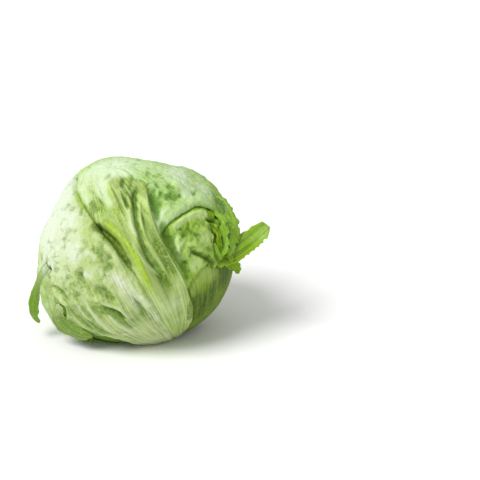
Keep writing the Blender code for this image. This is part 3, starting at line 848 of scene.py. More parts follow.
def makeStrip(leaf, number, strip):
    seed = leafNames.index(leaf.name) + 20 * (number + 1)
    corners = [directions(polar, around) * reach * mm + centre for polar, around, reach in
               np.array(strip["spine"], float)]
    spine = curveThrough(corners, stripForm["spacing"])
    travelled = np.concatenate([[0], np.cumsum(np.linalg.norm(np.diff(spine, axis=0), axis=1))])
    share = travelled / travelled[-1]

    def along(values):
        return np.interp(share, np.linspace(0, 1, len(values)), values)

    width = along(strip["widths"]) * mm
    tangent = np.gradient(spine, axis=0)
    tangent /= np.linalg.norm(tangent, axis=1, keepdims=True)
    faces = unit(strip["faces"])
    outward = faces - tangent * (tangent @ faces)[:, None]
    outward /= np.linalg.norm(outward, axis=1, keepdims=True)
    sideways = np.cross(tangent, outward)
    turn = np.radians(along(strip.get("turn", (0,))))[:, None]
    outward, sideways = (outward * np.cos(turn) + sideways * np.sin(turn),
                         sideways * np.cos(turn) - outward * np.sin(turn))
    cells = max(stripForm["leastCells"], round(width.max() / stripForm["cell"]))
    bpy.ops.object.select_all(action="DESELECT")
    bpy.ops.mesh.primitive_grid_add(x_subdivisions=cells, y_subdivisions=len(spine) - 1, size=2)
    piece = bpy.context.object
    square = verticesOf(piece)
    row = np.round((square[:, 1] + 1) / 2 * (len(spine) - 1)).astype(int)
    across = square[:, 0]
    edge = np.column_stack([travelled[row], stripForm["sideShift"] * np.sign(across), 0 * across])
    coarse, fine = (softNoise(edge, size, seed + 2 * index) * stripForm["edgeShares"][index]
                    for index, size in enumerate(stripForm["edgeSizes"]))
    half = width[row] / 2 * (1 + strip["ragged"] * (coarse + fine) * 2)
    bend = math.radians(strip["bend"]) / 2
    swing = across * bend
    sidestep, drop = half / bend * np.sin(swing), half / bend * (1 - np.cos(swing))
    spots = spine[row] + sideways[row] * sidestep[:, None] - outward[row] * drop[:, None]
    waves = stripForm["waves"] * softNoise(spots, stripForm["waveSize"], seed + 1)
    spots += outward[row] * waves[:, None]
    spots[:, 2] = np.maximum(spots[:, 2], stripForm["overFloor"])
    moveVertices(piece, spots)
    reach = stripForm["fanStart"] + share[row] * stripForm["fanLength"]
    places = np.column_stack([across * half, travelled[row]])
    storePlaces(piece, places, across * half / stripForm["fanWidth"], reach, seed)
    for name in ("rib", "net", "fold"):
        store(piece, name, np.zeros(len(spots)))
    store(piece, "rim", ramp(np.abs(across), stripForm["rimFrom"], 1.0))
    root, tip = (np.array(strip.get(key, strip["tint"]), float) for key in ("tint", "tipTint"))
    store(piece, "tint", root + (tip - root) * share[row][:, None])
    thicken(piece, stripForm["thickness"])
    return piece


def thicken(piece, thickness):
    bpy.context.view_layer.objects.active = piece
    wall = piece.modifiers.new("thickness", "SOLIDIFY")
    wall.thickness = thickness
    wall.offset = -1
    wall.use_even_offset = False
    bpy.ops.object.modifier_apply(modifier=wall.name)


def finishPiece(piece, node, finish):
    piece.data.materials.clear()
    piece.data.materials.append(finish)
    bpy.ops.object.select_all(action="DESELECT")
    piece.select_set(True)
    bpy.context.view_layer.objects.active = piece
    bpy.ops.object.shade_smooth()
    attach(piece, "root")
    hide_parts(node)


class Wire:  # a shader socket that takes part in sums
    def __init__(self, paint, socket):
        self.paint, self.socket = paint, socket

    def sum(self, kind, first, second):
        return self.paint.node("ShaderNodeMath", {"operation": kind}, {0: first, 1: second})

    def __add__(self, other):
        return self.sum("ADD", self, other)

    def __sub__(self, other):
        return self.sum("SUBTRACT", self, other)

    def __rsub__(self, other):
        return self.sum("SUBTRACT", other, self)

    def __mul__(self, other):
        return self.sum("MULTIPLY", self, other)

    __radd__, __rmul__ = __add__, __mul__


class Paint:  # a material under construction
    def __init__(self, name):
        self.material = bpy.data.materials.new(name)
        self.material.use_nodes = True
        self.tree = self.material.node_tree
        self.shader = self.tree.nodes["Principled BSDF"]

    def node(self, kind, settings=None, values=None, output=0):
        made = self.tree.nodes.new(kind)
        for key, value in (settings or {}).items():
            setattr(made, key, value)
        for key, value in (values or {}).items():
            if isinstance(value, Wire):
                self.tree.links.new(value.socket, made.inputs[key])
            else:
                made.inputs[key].default_value = value
        return Wire(self, made.outputs[output])

    def attribute(self, name, output="Fac"):
        return self.node("ShaderNodeAttribute", {"attribute_name": name}, output=output)

    def part(self, vector, axis):
        return self.node("ShaderNodeSeparateXYZ", {}, {0: vector}, axis)

    def noise(self, where, scale, detail=3, output="Fac"):
        values = {"Vector": where, "Scale": scale, "Detail": detail}
        return self.node("ShaderNodeTexNoise", {}, values, output)

    def edges(self, where, scale):
        values = {"Vector": where, "Scale": scale}
        return self.node("ShaderNodeTexVoronoi", {"feature": "DISTANCE_TO_EDGE"}, values)

    def scaled(self, where, factors):
        return self.node("ShaderNodeVectorMath", {"operation": "MULTIPLY"}, {0: where, 1: factors})

    def shifted(self, where, offset, amount):  # moved by a colour-like noise
        moved = self.node("ShaderNodeVectorMath", {"operation": "SCALE"}, {0: offset, "Scale": amount})
        return self.node("ShaderNodeVectorMath", {"operation": "ADD"}, {0: where, 1: moved})

    def between(self, value, start, end, low=0.0, high=1.0):
        values = {"Value": value, "From Min": start, "From Max": end, "To Min": low, "To Max": high}
        return self.node("ShaderNodeMapRange", {"interpolation_type": "SMOOTHSTEP"}, values)

    def mix(self, factor, first, second):
        values = {"Factor": factor, 6: first, 7: second}  # the colour sockets of a Mix node
        return self.node("ShaderNodeMix", {"data_type": "RGBA"}, values, 2)

    def set(self, name, value):
        if isinstance(value, Wire):
            self.tree.links.new(value.socket, self.shader.inputs[name])
        else:
            self.shader.inputs[name].default_value = value

    def setAll(self, values):
        for name, value in values.items():
            self.set(name, value)

    def bumps(self, height, strength, distance):
        values = {"Strength": strength, "Distance": distance, "Height": height}
        self.set("Normal", self.node("ShaderNodeBump", {}, values))


def colour(*screen):  # from screen values out of 255, by the usual curve of a screen
    shares = (value / 255 for value in screen)
    return tuple(c / 12.92 if c < 0.0404 else ((c + 0.055) / 1.055) ** 2.4 for c in shares) + (1,)


# Colours of the leaves' finishes: veins and ribs, the blade, its darkest spots (this tone is also painted
# into creases as shade), fresh margins, pale places (partly painted light on the tops) and the base by the
# stem
leafPaints = {
    "pale outer": {
        "vein": (194, 206, 154), "blade": (158, 184, 96), "deep": (84, 120, 16), "fresh": (148, 186, 40),
        "pale": (210, 222, 200), "base": (156, 164, 108),
    },
    "pleated": {
        "vein": (186, 206, 130), "blade": (118, 152, 36), "deep": (60, 98, 2), "fresh": (154, 188, 14),
        "pale": (204, 224, 184), "base": (156, 168, 100),
    },
    "crown": {
        "vein": (190, 216, 152), "blade": (160, 198, 106), "deep": (88, 134, 14), "fresh": (136, 180, 22),
        "pale": (208, 226, 194), "base": (170, 184, 130),
    },
    "folded": {
        "vein": (166, 198, 94), "blade": (126, 164, 38), "deep": (56, 96, 2), "fresh": (148, 188, 34),
        "pale": (194, 220, 146), "base": (130, 158, 60),
    },
    # tones of the inner leaves, darker partly as painted shade for the leaf at the shaded right
    "inner": {
        "vein": (124, 152, 48), "blade": (96, 124, 14), "deep": (42, 68, 2), "fresh": (132, 166, 20),
        "pale": (160, 188, 92), "base": (100, 118, 36),
    },
    "torn": {
        "vein": (146, 184, 46), "blade": (108, 148, 12), "deep": (48, 88, 2), "fresh": (156, 192, 28),
        "pale": (176, 206, 116), "base": (126, 156, 36),
    },
    "under": {
        "vein": (112, 148, 50), "blade": (62, 100, 10), "deep": (26, 58, 2), "fresh": (112, 150, 26),
        "pale": (150, 180, 90), "base": (120, 140, 60),
    },
}
# How far along a leaf, in right angles from the stem, its streaks reach; past that it is mottled
streakEnds = {"pleated": 2.0, "inner": 1.25, "pale outer": 1.12}
usualStreakEnd = 0.95
finishOf = {
    "inner_leaf_back": "crown", "inner_leaf_right": "inner", "torn_leaf_right": "torn",
    "folded_leaf_right": "folded", "crown_leaf": "crown", "outer_leaf_back_left": "pale outer",
    "outer_leaf_low_left": "under", "outer_leaf_back_right": "pale outer", "outer_leaf_front": "pleated",
    "outer_leaf_back": "pale outer", "outer_leaf_left": "pale outer", "outer_leaf_underside": "under",
}
# Broad changes of colour, each as how much deeper green, fresher yellow-green and paler; the deeper green
# in hollows, creases and shaded sides is partly painted shade, the paler at the tops partly painted light
leafTints = {
    "outer_leaf_left": [
        # paler above and deeper green low down: partly the leaf's own colour, partly painted light from the
        # upper left and painted shade below
        spot((-0.6, 0, 1.6), 34, (152, -54)), spot((-0.3, 0, 1.2), 26, (124, -62)),
        spot((0, 0, 0.5), 14, (120, -32)), spot((0.6, 0, 0), 8, (107, -14)),
        spot((-0.2, 0, 0.6), 10, (105, -30)), spot((0.5, 0.3, -0.1), 20, (74, -42)),
        spot((0.4, 0.8, -0.4), 4, (72, -26.5)), spot((0.6, 0.5, -0.4), 8, (75.5, -28)),
        spot((0.8, 0.2, -0.6), 12, (62, -14)),
        # the lens-shaped hollow and other creases, painted deeper green: partly their own green, partly
        # painted shade
        stroke((3.4, 0.8, -1.0), 1.9, [(74.5, -26.7), (70, -24.1), (65.8, -22), (62.5, -19.8)],
               (0.2, 0.1)),
        stroke((1.9, 0.4, -0.9), 4.5, [(76, -61), (70, -61), (65, -60), (58, -54.5), (50, -47)],
               (0.15, 0.3)),
        stroke((1.0, 0.5, -0.4), (3.4, 3.0), [(89, -27.4), (84, -23.6), (79.3, -20.4), (75, -17.6)]),
        stroke((1.1, 0.2, -0.4), 4.0, [(107, -16.4), (101, -14.2), (95.8, -13), (92, -11.6)]),
        stroke((1.0, 0.1, -0.3), 2.6, [(101, -32.4), (95.3, -32), (90, -31.7)]),
        spot((0.9, 0.1, -0.2), 4, (95.5, -31)), spot((0.7, 0.1, 0), 5, (89, -40)),
        spot((0.5, 0, 0), 6, (78, -50)),
        # pale crests beside them
        stroke((-0.5, 0, 0.9), 3.0, [(108, -24), (104, -19.6), (100.5, -17.6)]),
        stroke((-0.5, 0, 0.9), 2.6, [(98.5, -33), (95.4, -28), (92.2, -23)]),
        stroke((-0.5, -0.1, 0.8), (3.6, 2.8), [(92, -14.4), (86, -12), (78, -9.8), (68.5, -8.1), (60, -7)],
               (0.2, 0.4)),
        # folds by the lower margin, painted deeper green, partly painted shade
        stroke((1.2, 1.0, -0.6), 1.6, [(106, -53), (103, -57), (100, -62), (98, -66)], (0.1, 0.2)),
        stroke((1.0, 0.1, -0.3), 1.6, [(93, -56), (88, -50), (84, -46)]),
        # pale ribs, then the darker lines between them
        stroke((-0.6, 0, 0.8), 1.1, [(84, -33), (79, -27), (75, -23), (71, -19.4), (66, -17.2),
                                     (58, -17)]),
        stroke((-0.6, 0, 0.8), 1.3, [(86, -37), (75, -35.7), (66, -36), (56, -35), (42, -27)]),
        stroke((-0.5, 0, 0.7), 1.1, [(88, -34), (81, -31.8), (72, -27.7), (60, -27), (47, -26)]),
        stroke((-0.5, 0, 0.7), 1.3, [(90, -44), (80, -43), (70, -43), (58, -39), (46, -32)]),
        stroke((0.9, 0.2, -0.3), 2.0, [(82, -40), (72, -39.5), (60, -37.5), (48, -29)]),
        stroke((0.9, 0.3, -0.3), 2.2, [(78, -30), (66, -24), (52, -21)]),
        stroke((0.8, 0.3, -0.2), 2.2, [(84, -52), (74, -50), (62, -46), (52, -38)]),
        stroke((0.7, 0.1, -0.2), 1.6, [(78, -10), (66, -7), (52, -5)]),
        stroke((-0.4, 0, 0.7), 2.0, [(86, -8), (74, -5), (62, -3), (48, -2)]),
        # the margins, with the valley under the lower one painted deeper green, partly painted shade
        stroke((0.2, 0.9, 0), (2.5, 1.8), [(104, -50), (98, -62), (90, -66), (82, -58)]),
        stroke((2.2, 0.4, -0.9), 1.8, [(95, -71), (90, -64.5), (85, -58), (81, -57)]),
        stroke((0, 1.3, -0.6), (1.3, 2.2), [(160, -44), (150, -32), (143, -25), (135, -20), (127, -16.4),
                                            (122, -13.5)], (0.05, 0.3)),
    ],
    "outer_leaf_front": [
        # the bright fold, its yellow-green partly a painted glow of light through the leaf, the dark corner
        # beside it, painted deeper green partly as painted shade, and the streaked slope under it
        stroke((-0.7, 1.6, -0.5), (2.8, 2.6), [(119, -6), (113, -2.6), (107, -0.6), (103, 1), (98, 2.4),
                                               (92, 3), (85, 3.2), (78, 3), (70, 3.4), (62, 3.8)],
               (0.1, 0.5)),
        stroke((-0.9, 0, 1.5), 1.0, [(103, 3.6), (99.4, 4.6), (94.7, 5.2), (90.6, 5.8), (85, 7.6),
                                     (79.7, 10), (75, 12)], (0.1, 0.2)),
        stroke((0.4, 1.0, -0.6), 3.6, [(88, 9), (82, 10.4), (75, 13), (67, 15)], (0.3, 0.4)),
        stroke((0.7, 2.0, -0.8), (2.6, 3.4), [(119, -12), (115, -9.6), (111, -7), (107, -5), (101, -4),
                                              (95, -3.4), (88, -2.6)], (0.15, 0.4)),
        stroke((0.6, 0.8, -0.3), 1.2, [(104, -6), (97.5, -4.6), (90, -3), (84, -2)], 0.3),
        # paler places at the top, partly painted light from above, and mottled places, with a groove
        # painted deeper green, partly painted shade
        spot((-0.8, 0, 2.2), 14, (160, -4)), spot((-0.9, 0, 2.6), 8, (154, 22)),
        spot((-0.7, 0, 2.0), 6, (144, 27)),
        stroke((-0.5, 0, 1.2), 5, [(152, -22), (140, -16), (132, -13)]),
        stroke((-0.5, 0, 1.4), 4, [(150, 2), (138, -1), (130, 0), (122, 3)]),
        spot((-0.5, 0, 1.2), 9, (147, 9)), spot((-0.3, 0, 0.9), 7, (110, 9)),
        stroke((0.6, 0.5, 0), 4, [(137, -12.5), (130, -9.5), (125, -6)]),
        stroke((1.3, 0, -0.4), 2.6, [(145, 3), (149, 10), (151, 17)]),
        spot((0.3, 0.8, -0.2), 4, (121, 4.5)), spot((0.5, 0, -0.1), 9, (128, 18)),
        # grooves painted deeper green, partly painted shade, and paler pleats
        stroke((1.3, 0.3, -0.4), 1.5, [(142, 21), (131, 12.9), (123.5, 11.3), (117, 9.9)], (0.1, 0.2)),
        stroke((1.2, 0.5, -0.5), 1.5, [(132, 24), (121.5, 16.2), (113.3, 12.8), (107, 11), (101, 9.7)],
               (0.1, 0.3)),
        stroke((1.9, 0.4, -0.6), (2.4, 2.2), [(101, 9.7), (95.8, 9.2), (91, 9.6), (84, 10.6), (74, 12),
                                              (64, 13)], (0.2, 0.4)),
        stroke((0.8, 0.3, -0.3), 2.2, [(114, 16), (106, 15), (100, 15), (90, 17.4), (78, 18), (64, 19.5)],
               (0.2, 0.4)),
        stroke((0.5, 0.5, -0.2), 2.4, [(118, 22), (110, 18.4), (104, 17.6), (96, 18.5), (86, 19)],
               (0.2, 0.4)),
        stroke((-0.4, 0, 0.8), 1.3, [(138, 16), (126, 10), (117, 9), (110, 6.8)], (0.1, 0.3)),
        stroke((-0.3, 0, 0.9), 1.6, [(120, 13), (114, 10.4), (107.6, 7.6), (103, 8.6), (98, 7)],
               (0.2, 0.3)),
        stroke((-0.4, 0, 0.8), 1.2, [(120, 17.8), (108, 13.6), (96, 13), (82, 14.4), (66, 16.2)]),
        stroke((-0.9, 0, 1.6), (0.9, 1.0), [(124, 27), (116, 22.2), (110, 20.0), (104, 18.8), (98, 18.4),
                                            (91, 18.7), (85, 19.4), (79, 20.3), (73, 21.4), (67, 22),
                                            (60, 22.3)], (0.05, 0.3)),
        stroke((0.9, 1.0, -0.8), (4.0, 3.0), [(100, 15.4), (93, 15.4), (86, 16.6), (79, 17.8), (72, 19)],
               (0.3, 0.4)),
        stroke((1.2, 0.3, -0.8), 4, [(58, 21.5), (48, 23.5), (38, 23.5)], (0.3, 0.2)),
        spot((0.2, 1.2, -0.2), 2.6, (127, 28.5)), spot((-0.4, 0, 0.8), 12, (60, 2)),
        spot((-0.3, 0, 0.6), 8, (58, 16)),
    ],
    "crown_leaf": [
        # pits, dents and the valleys between them painted deeper green, partly painted shade
        stroke((1.3, 0.3, -0.5), 3.0, [(127, 31), (121, 28.5), (115.5, 27), (110, 24.5)], (0.1, 0.3)),
        stroke((1.2, 0.3, -0.5), 2.6, [(121, 33), (118.5, 36), (115, 38), (113, 44)], 0.1),
        spot((1.0, 0.3, -0.4), 3.4, (121, 44)), spot((1.3, 0, -0.4), 2.4, (110, 55)),
        spot((0.5, 0, 0), 10, (116, 38)),
        # paler crests and places, at the top of the head partly painted light from above
        stroke((-0.4, 0, 0.4), 2.4, [(103, 21), (108, 27), (109.8, 32), (111, 37)], (0.2, 0.3)),
        spot((-0.5, 0, 1.0), 14, (124, 62)), spot((-0.3, 0, 0.7), 12, (105, 62)),
        spot((-0.5, 0, 1.5), 24, (156, 14)), spot((-0.3, 0, 0.8), 9, (112, 50)),
        stroke((-0.2, 0.2, 0.7), (2.0, 2.4), [(98, 21), (102.5, 28), (104, 34), (104.6, 42), (104, 50)],
               (0.1, 0.3)),
        spot((0.5, 2.0, -0.9), 18, (80, 72)), spot((0.3, 1.2, -0.5), 11, (96, 72)),
        stroke((0.2, 2.6, -1.2), 9, [(114, 92), (104, 86), (95, 76), (87, 70), (80, 64), (74, 58)],
               (0.2, 0.05)),
        # the gaps between the hanging folds painted deeper green, partly painted shade
        stroke((1.6, 0, -0.6), 1.3, [(96, 70), (90, 67.5), (85, 65), (79, 60.5), (75, 56.5)], (0.2, 0.1)),
        stroke((1.2, 0, -0.4), 1.0, [(97, 60), (92, 59.5), (87, 58.6), (81, 57)], (0.2, 0.1)),
    ],
    "folded_leaf_right": [
        # the crease and the dents painted deeper green, partly painted shade, beside paler places
        stroke((2.2, 0.3, -0.9), (1.5, 1.7), [(86, 30.5), (83, 33.4), (79.5, 36.4), (76.5, 40), (73, 43.4),
                                              (70, 46.5)], (0.2, 0.1)),
        spot((-0.5, 0, 1.0), 6, (74, 31)), spot((0.7, 0.2, -0.5), 5, (70, 44)),
        spot((0.9, 0.3, -0.5), 4, (71, 41)), spot((-0.3, 0, 0.5), 5, (90, 28)),
        spot((0.9, 0, -0.2), 3.5, (94, 35)), spot((0.7, 0, -0.2), 3.5, (90, 39)),
        spot((0.2, 0.3, 0), 8, (84, 48)), spot((0.9, 0, -0.3), 3.5, (96, 24)),
        stroke((-0.8, 0, 1.9), (2.4, 3.4), [(98, 27), (100, 33), (100.6, 40), (99.8, 48), (96, 55)], 0.1),
        spot((-0.2, 0, 0.4), 12, (88, 35)),
        stroke((-0.4, 0, 1.2), 2.2, [(96, 30), (90, 27), (83, 25), (77, 25)]),
        spot((-0.3, 0, 0.9), 3.0, (85, 44)),
        stroke((-0.5, 0, 1.0), 1.2, [(95, 52), (87, 51), (79, 50), (73, 47)]),
    ],
    "torn_leaf_right": [
        spot((-0.8, -0.5, 1.6), 3.5, (88, 54)), spot((0.9, 0, -0.3), 3, (93, 57)),
        spot((0, 0.5, 0.2), 6, (78, 60)),
    ],
    "inner_leaf_right": [
        # paler at the top, deeper green at the right and low down: partly its own colour, partly painted
        # shade where the leaf lies in shadow
        spot((-0.8, 0, 2.0), 13, (73, 30)), spot((2.2, -0.2, -1.2), 14, (60, 68)),
        spot((-0.5, 0, 1.2), 13, (66, 42)), spot((0.7, 0, -0.2), 10, (54, 46)),
        spot((1.6, 0, -0.9), 16, (44, 30)), spot((0.9, 0, -0.3), 7, (71, 52)),
        stroke((0, 0.8, -0.4), 3, [(72, 36), (62, 37), (50, 36)]),
    ],
}


# The patterns in the leaves' finish. Scales count features a metre, those of streaks and hairs run across
# and along a leaf; a range says from which value to which a pattern comes in
grain = {
    "warpScale": 90, "warp": 0.006, "veinScale": 150, "veinRange": (0.0, 0.16), "fineVeinScale": 420,
    "fineVeinRange": (0.0, 0.2), "cloudScale": 42, "mottleScale": 150, "fineScale": 700, "speckScale": 330,
    "streaks": (24, 1.5, 1), "hairs": (80, 2.4, 1), "streakFade": 0.35, "farRange": (0.5, 1.1),
    "deeperRange": (0.49, 0.69), "paleRange": (0.46, 0.84), "paleAndLitRange": (0.4, 2.2),
    "creaseShadeRange": (-0.08, -0.7), "roughness": 0.46, "roughnessSpread": 0.2, "bumpStrength": 0.6,
    "bumpHeight": 1.2 * mm,
}
leafShader = {
    "Subsurface Weight": 0.12, "Subsurface Radius": (0.6, 1.0, 0.25), "Subsurface Scale": 0.003,
    "Specular IOR Level": 0.14,
}


def leafMaterial(name, tones, streakEnd):
    paint = Paint(name)
    between = paint.between
    place, fan, tint = (paint.attribute(key, "Vector") for key in ("leafPlace", "leafFan", "tint"))
    rib, net, rim, fold = (paint.attribute(key) for key in ("rib", "net", "rim", "fold"))
    deeperAndShadeTint, freshTint, paleAndLitTint = (paint.part(tint, axis) for axis in range(3))
    reach = paint.part(fan, 1)
    far = between(reach, *grain["farRange"])  # away from the base, where the veins make a net
    warped = paint.shifted(place, paint.noise(place, grain["warpScale"], 2, "Color"), grain["warp"])
    veins = between(paint.edges(warped, grain["veinScale"]), *grain["veinRange"], 1, 0) * far
    fineVeins = between(paint.edges(warped, grain["fineVeinScale"]), *grain["fineVeinRange"], 1, 0) * far
    cloudy = paint.noise(place, grain["cloudScale"], 4)
    mottle = paint.noise(warped, grain["mottleScale"], 4)
    fine = paint.noise(place, grain["fineScale"], 3)
    specks = paint.noise(warped, grain["speckScale"], 3)
    streaks = paint.noise(paint.scaled(fan, grain["streaks"]), 1.0, 4)
    hairs = paint.noise(paint.scaled(fan, grain["hairs"]), 1.0, 3)

    streaked = between(reach, streakEnd, streakEnd - grain["streakFade"])
    freshness = between(freshTint, 0.0, 1.0)
    patches = mottle + (streaks * 0.6 + hairs * 0.4 - mottle) * streaked * 0.8
    # deeper mottles, pushed by the tint's deeper green, which is partly painted shade
    deeper = between(patches + deeperAndShadeTint * 0.2, *grain["deeperRange"])
    plain = (1 - freshness * 0.85) * (1 - deeper * 0.55)

    # each layer's strength and its tone, from the lowest up
    layers = (
        (freshness * 0.9, "fresh"),
        (between(reach, 0.75, 0.35) * 0.6 * (1 - freshness * 0.85), "base"),
        (between(cloudy + paleAndLitTint * 0.25, *grain["paleRange"]), "pale"),
        (deeper * 0.85, "deep"),
        (between(specks, 0.60, 0.72) * 0.5, "deep"),
        (between(specks, 0.40, 0.30) * 0.5, "vein"),
        (between(streaks, 0.50, 0.64) * (0.35 + streaked * 0.45) * plain, "vein"),
        (between(streaks, 0.45, 0.34) * streaked * 0.5, "deep"),
        (between(hairs, 0.53, 0.66) * (0.25 + streaked * 0.35), "deep"),
        (between(hairs, 0.47, 0.35) * (0.3 + streaked * 0.3) * plain, "vein"),
        (rib * (0.3 + streaked * 0.25) * plain, "vein"),
        (net * 0.16 + veins * 0.2, "vein"),
        (fineVeins * 0.2, "vein"),
        # paler where the tint says so, partly painted light at the tops
        (between(paleAndLitTint, *grain["paleAndLitRange"]) * 0.75, "pale"),
        # deeper green in the folds' hollows: partly the leaf's own green, partly painted shade
        (between(fold, *grain["creaseShadeRange"]) * 0.65 * (1 - freshness * 0.55), "deep"),
        (between(fold, 0.1, 0.6) * 0.35 * plain, "vein"),
        # fresh yellow-green lifted margins: partly their own colour, partly a painted glow of light through
        # the thin edge
        (rim * 0.5, "fresh"),
    )
    body = colour(*tones["blade"])
    for strength, tone in layers:
        body = paint.mix(strength, body, colour(*tones[tone]))
    paint.set("Base Color", body)
    paint.set("Roughness", grain["roughness"] + fine * grain["roughnessSpread"])
    paint.setAll(leafShader)
    height = streaks * 0.5 + mottle * 0.3 + specks * 0.25 + fine * 0.12 + hairs * 0.25 - veins * 0.25
    paint.bumps(height, grain["bumpStrength"], grain["bumpHeight"])
    return paint.material


heartForm = {"subdivisions": 6, "pocketAngles": (22, 11), "pocketFloor": 45 * mm}  # a pocket for the stem


def makeHeart(finish):
    bpy.ops.object.select_all(action="DESELECT")
    bpy.ops.mesh.primitive_ico_sphere_add(subdivisions=heartForm["subdivisions"], radius=1)
    piece = bpy.context.object
    piece.name = piece.data.name = "visual_heart"
    points = verticesOf(piece)
    points /= np.linalg.norm(points, axis=1, keepdims=True)
    polar, around = headAngles(points)
    radius = grid.sample(heartFace, points)
    radius += ramp(polar, *heartForm["pocketAngles"]) * (heartForm["pocketFloor"] - radius)
    moveVertices(piece, points * radius[:, None] + centre)
    store(piece, "leafPlace", points * head["radius"])
    store(piece, "leafFan", np.stack([np.radians(around), polar / 90, 0 * polar], -1))
    for key in ("rib", "net", "rim", "fold"):
        store(piece, key, 0 * polar)
    store(piece, "tint", 0 * points)
    finishPiece(piece, "heart", finish)


# The cut stem widens to its face; leaf scars run along it and a ring of vessels shows on the cut
stemShape = {
    "rootDistance": 50 * mm, "faceDistance": 64 * mm, "rootRadius": 10.5 * mm, "faceRadius": 12.5 * mm,
    "sides": 72, "steps": 7, "rim": 0.8 * mm, "rimSegments": 3,
    "rings": (1.6 * mm, 1.5 * mm, 1.6 * mm, 1.6 * mm, 1.8 * mm),
    "ringDepths": (-0.2 * mm, 0.2 * mm, -0.3 * mm, -0.1 * mm, -0.2 * mm),
    "scars": 0.5 * mm, "scarSize": 3 * mm, "scarsAround": 9 * mm, "scarsAlong": 0.4, "scarSeed": 61,
    "rough": 0.3 * mm, "roughSize": 2.6 * mm, "roughBand": (1.2 * mm, 0.6 * mm), "roughSeed": 62,
}


def selectFaces(shape, wanted):
    for face in shape.faces:
        face.select_set(wanted(face))
    shape.select_flush_mode()


def makeStem(finish):
    length = stemShape["faceDistance"] - stemShape["rootDistance"]
    step = length / stemShape["steps"]
    bpy.ops.object.select_all(action="DESELECT")
    bpy.ops.mesh.primitive_cylinder_add(vertices=stemShape["sides"], radius=stemShape["rootRadius"],
                                        depth=step, location=(0, 0, step / 2))
    piece = bpy.context.object
    piece.name = piece.data.name = "visual_cut_stem"
    bpy.ops.object.transform_apply(location=True)
    bpy.ops.object.mode_set(mode="EDIT")
    shape = bmesh.from_edit_mesh(piece.data)
    bpy.context.tool_settings.mesh_select_mode = (False, False, True)
    selectFaces(shape, lambda face: face.normal.z > 0.9)
    widen = (stemShape["faceRadius"] / stemShape["rootRadius"]) ** (1 / (stemShape["steps"] - 1))
    for _ in range(stemShape["steps"] - 1):
        bpy.ops.mesh.extrude_region_move(TRANSFORM_OT_translate={"value": (0, 0, step)})
        bpy.ops.transform.resize(value=(widen, widen, 1))
    bpy.ops.mesh.bevel(offset=stemShape["rim"], segments=stemShape["rimSegments"], affect="EDGES")
    for width, depth in zip(stemShape["rings"], stemShape["ringDepths"]):
        bpy.ops.mesh.inset(thickness=width, depth=depth)
    bpy.ops.object.mode_set(mode="OBJECT")
    spots = verticesOf(piece)
    out = np.linalg.norm(spots[:, :2], axis=1)
    away = spots * (1, 1, 0) / np.maximum(out, 1e-9)[:, None]
    skin = ramp(out, stemShape["rootRadius"] * 0.8, stemShape["rootRadius"])
    scarSpots = away * stemShape["scarsAround"] + spots * (0, 0, stemShape["scarsAlong"])
    scars = softNoise(scarSpots, stemShape["scarSize"], stemShape["scarSeed"])
    face = ramp(spots[:, 2], *(length - depth for depth in stemShape["roughBand"]))
    spots = spots + away * (stemShape["scars"] * scars * skin)[:, None]
    rough = softNoise(spots, stemShape["roughSize"], stemShape["roughSeed"])
    spots[:, 2] += stemShape["rough"] * face * rough
    store(piece, "leafPlace", spots)
    store(piece, "ring", out / stemShape["faceRadius"])
    turn = Vector((0, 0, 1)).rotation_difference(Vector(stem)).to_matrix()
    moveVertices(piece, spots @ np.array(turn).T + stem * stemShape["rootDistance"] + centre)
    finishPiece(piece, "cut_stem", finish)


# Its finish, in the same terms as the leaves'; the rings lie at shares of the cut's radius
stemPaint = {
    "flesh": (214, 206, 164), "shade": (186, 176, 120), "vessels": (150, 146, 84), "cut": (150, 104, 62),
}
stemGrain = {
    "grainScale": 380, "wanderScale": 260, "wander": 0.12, "dotScale": 600, "stainScale": 140,
    "vesselsFrom": (0.52, 0.60), "vesselsTo": (0.74, 0.66), "rim": (0.84, 0.98), "stains": (0.56, 0.70),
    "roughness": 0.5, "roughnessSpread": 0.3, "bumpStrength": 0.5, "bumpHeight": 0.4 * mm,
}
stemShader = {
    "Subsurface Weight": 0.15, "Subsurface Radius": (1.0, 0.8, 0.4), "Subsurface Scale": 0.002,
    "Specular IOR Level": 0.25,
}


def stemMaterial():
    paint = Paint("cut stem")
    between = paint.between
    tones = {key: colour(*value) for key, value in stemPaint.items()}
    place = paint.attribute("leafPlace", "Vector")
    ring = paint.attribute("ring")
    grainy = paint.noise(place, stemGrain["grainScale"], 4)
    wander = ring + (paint.noise(place, stemGrain["wanderScale"], 2) - 0.5) * stemGrain["wander"]
    body = paint.mix(between(grainy, 0.40, 0.62), tones["flesh"], tones["shade"])
    vessels = between(wander, *stemGrain["vesselsFrom"]) * between(wander, *stemGrain["vesselsTo"])
    dots = between(paint.edges(place, stemGrain["dotScale"]), 0.05, 0.25, 0.4, 1)
    body = paint.mix(vessels * dots * 0.7, body, tones["vessels"])
    body = paint.mix(between(wander, *stemGrain["rim"]) * 0.7, body, tones["cut"])
    stains = between(paint.noise(place, stemGrain["stainScale"], 3), *stemGrain["stains"])
    body = paint.mix(stains * 0.5, body, tones["cut"])
    paint.set("Base Color", body)
    paint.set("Roughness", stemGrain["roughness"] + grainy * stemGrain["roughnessSpread"])
    paint.setAll(stemShader)
    paint.bumps(grainy, stemGrain["bumpStrength"], stemGrain["bumpHeight"])
    return paint.material


# The photograph's frame: the head's centre falls on this pixel, at this many metres a pixel
view = {
    "elevation": 20, "lens": 85, "sensor": 36, "centrePixel": (137, 250), "metresPerPixel": 0.82 * mm,
    "imageSide": 480,
}


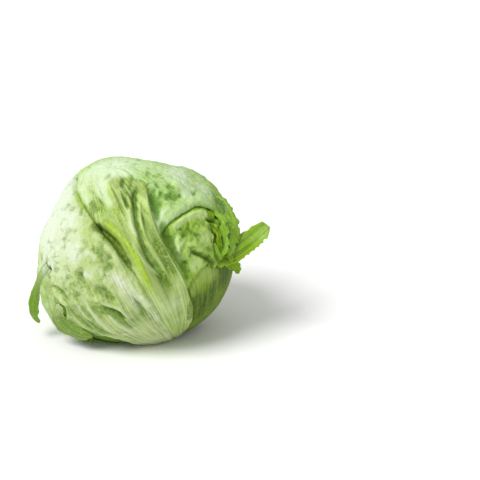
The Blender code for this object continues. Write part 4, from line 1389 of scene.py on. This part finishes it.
def addCamera():
    data = bpy.data.cameras.new("camera")
    data.lens, data.sensor_width = view["lens"], view["sensor"]
    camera = bpy.data.objects.new("camera", data)
    bpy.context.scene.collection.objects.link(camera)
    tilt = math.radians(view["elevation"])
    right, up = np.array((1, 0, 0)), np.array((0, math.sin(tilt), math.cos(tilt)))
    back = np.array((0, -math.cos(tilt), math.sin(tilt)))
    half = view["imageSide"] / 2
    distance = view["metresPerPixel"] * view["lens"] / view["sensor"] * view["imageSide"]
    aside, below = ((pixel - half) * view["metresPerPixel"] for pixel in view["centrePixel"])
    camera.location = centre - aside * right + below * up + distance * back
    camera.rotation_euler = (math.pi / 2 - tilt, 0, 0)
    bpy.context.scene.camera = camera


studio = {
    "world": 0.58, "keyFrom": (-0.75, -0.60, 1.15), "keyStrength": 2.6, "keyWidth": 32,
    "floorSize": 12, "floorColour": (0.95, 0.95, 0.95, 1), "floorRoughness": 0.9,
}


def addKey():  # a broad, even light from the upper left
    data = bpy.data.lights.new("key", "SUN")
    data.energy, data.angle = studio["keyStrength"], math.radians(studio["keyWidth"])
    lamp = bpy.data.objects.new("key", data)
    lamp.rotation_euler = Vector(studio["keyFrom"]).to_track_quat("Z", "Y").to_euler()
    bpy.context.scene.collection.objects.link(lamp)


def addStudio():
    world = bpy.data.worlds.new("studio")
    world.use_nodes = True
    sky = world.node_tree.nodes["Background"].inputs
    sky["Color"].default_value = (1, 1, 1, 1)
    sky["Strength"].default_value = studio["world"]
    bpy.context.scene.world = world
    addKey()
    bpy.ops.object.select_all(action="DESELECT")
    bpy.ops.mesh.primitive_plane_add(size=studio["floorSize"])
    floor = bpy.context.object
    floor.name = "floor"
    paint = Paint("floor")
    paint.setAll({"Base Color": studio["floorColour"], "Roughness": studio["floorRoughness"]})
    floor.data.materials.append(paint.material)
    bpy.context.scene.view_settings.view_transform = "Standard"


addCamera()
addStudio()
print("camera and studio ready")
leafFinishes = {}
for name, tones in leafPaints.items():
    leafFinishes[name] = leafMaterial(name, tones, streakEnds.get(name, usualStreakEnd))
makeHeart(leafFinishes["inner"])
makeStem(stemMaterial())
print("made the heart and the stem")
for leaf in stack:
    makeLeaf(leaf, leafFinishes[finishOf[leaf.name]])
    print("made", leaf.name)
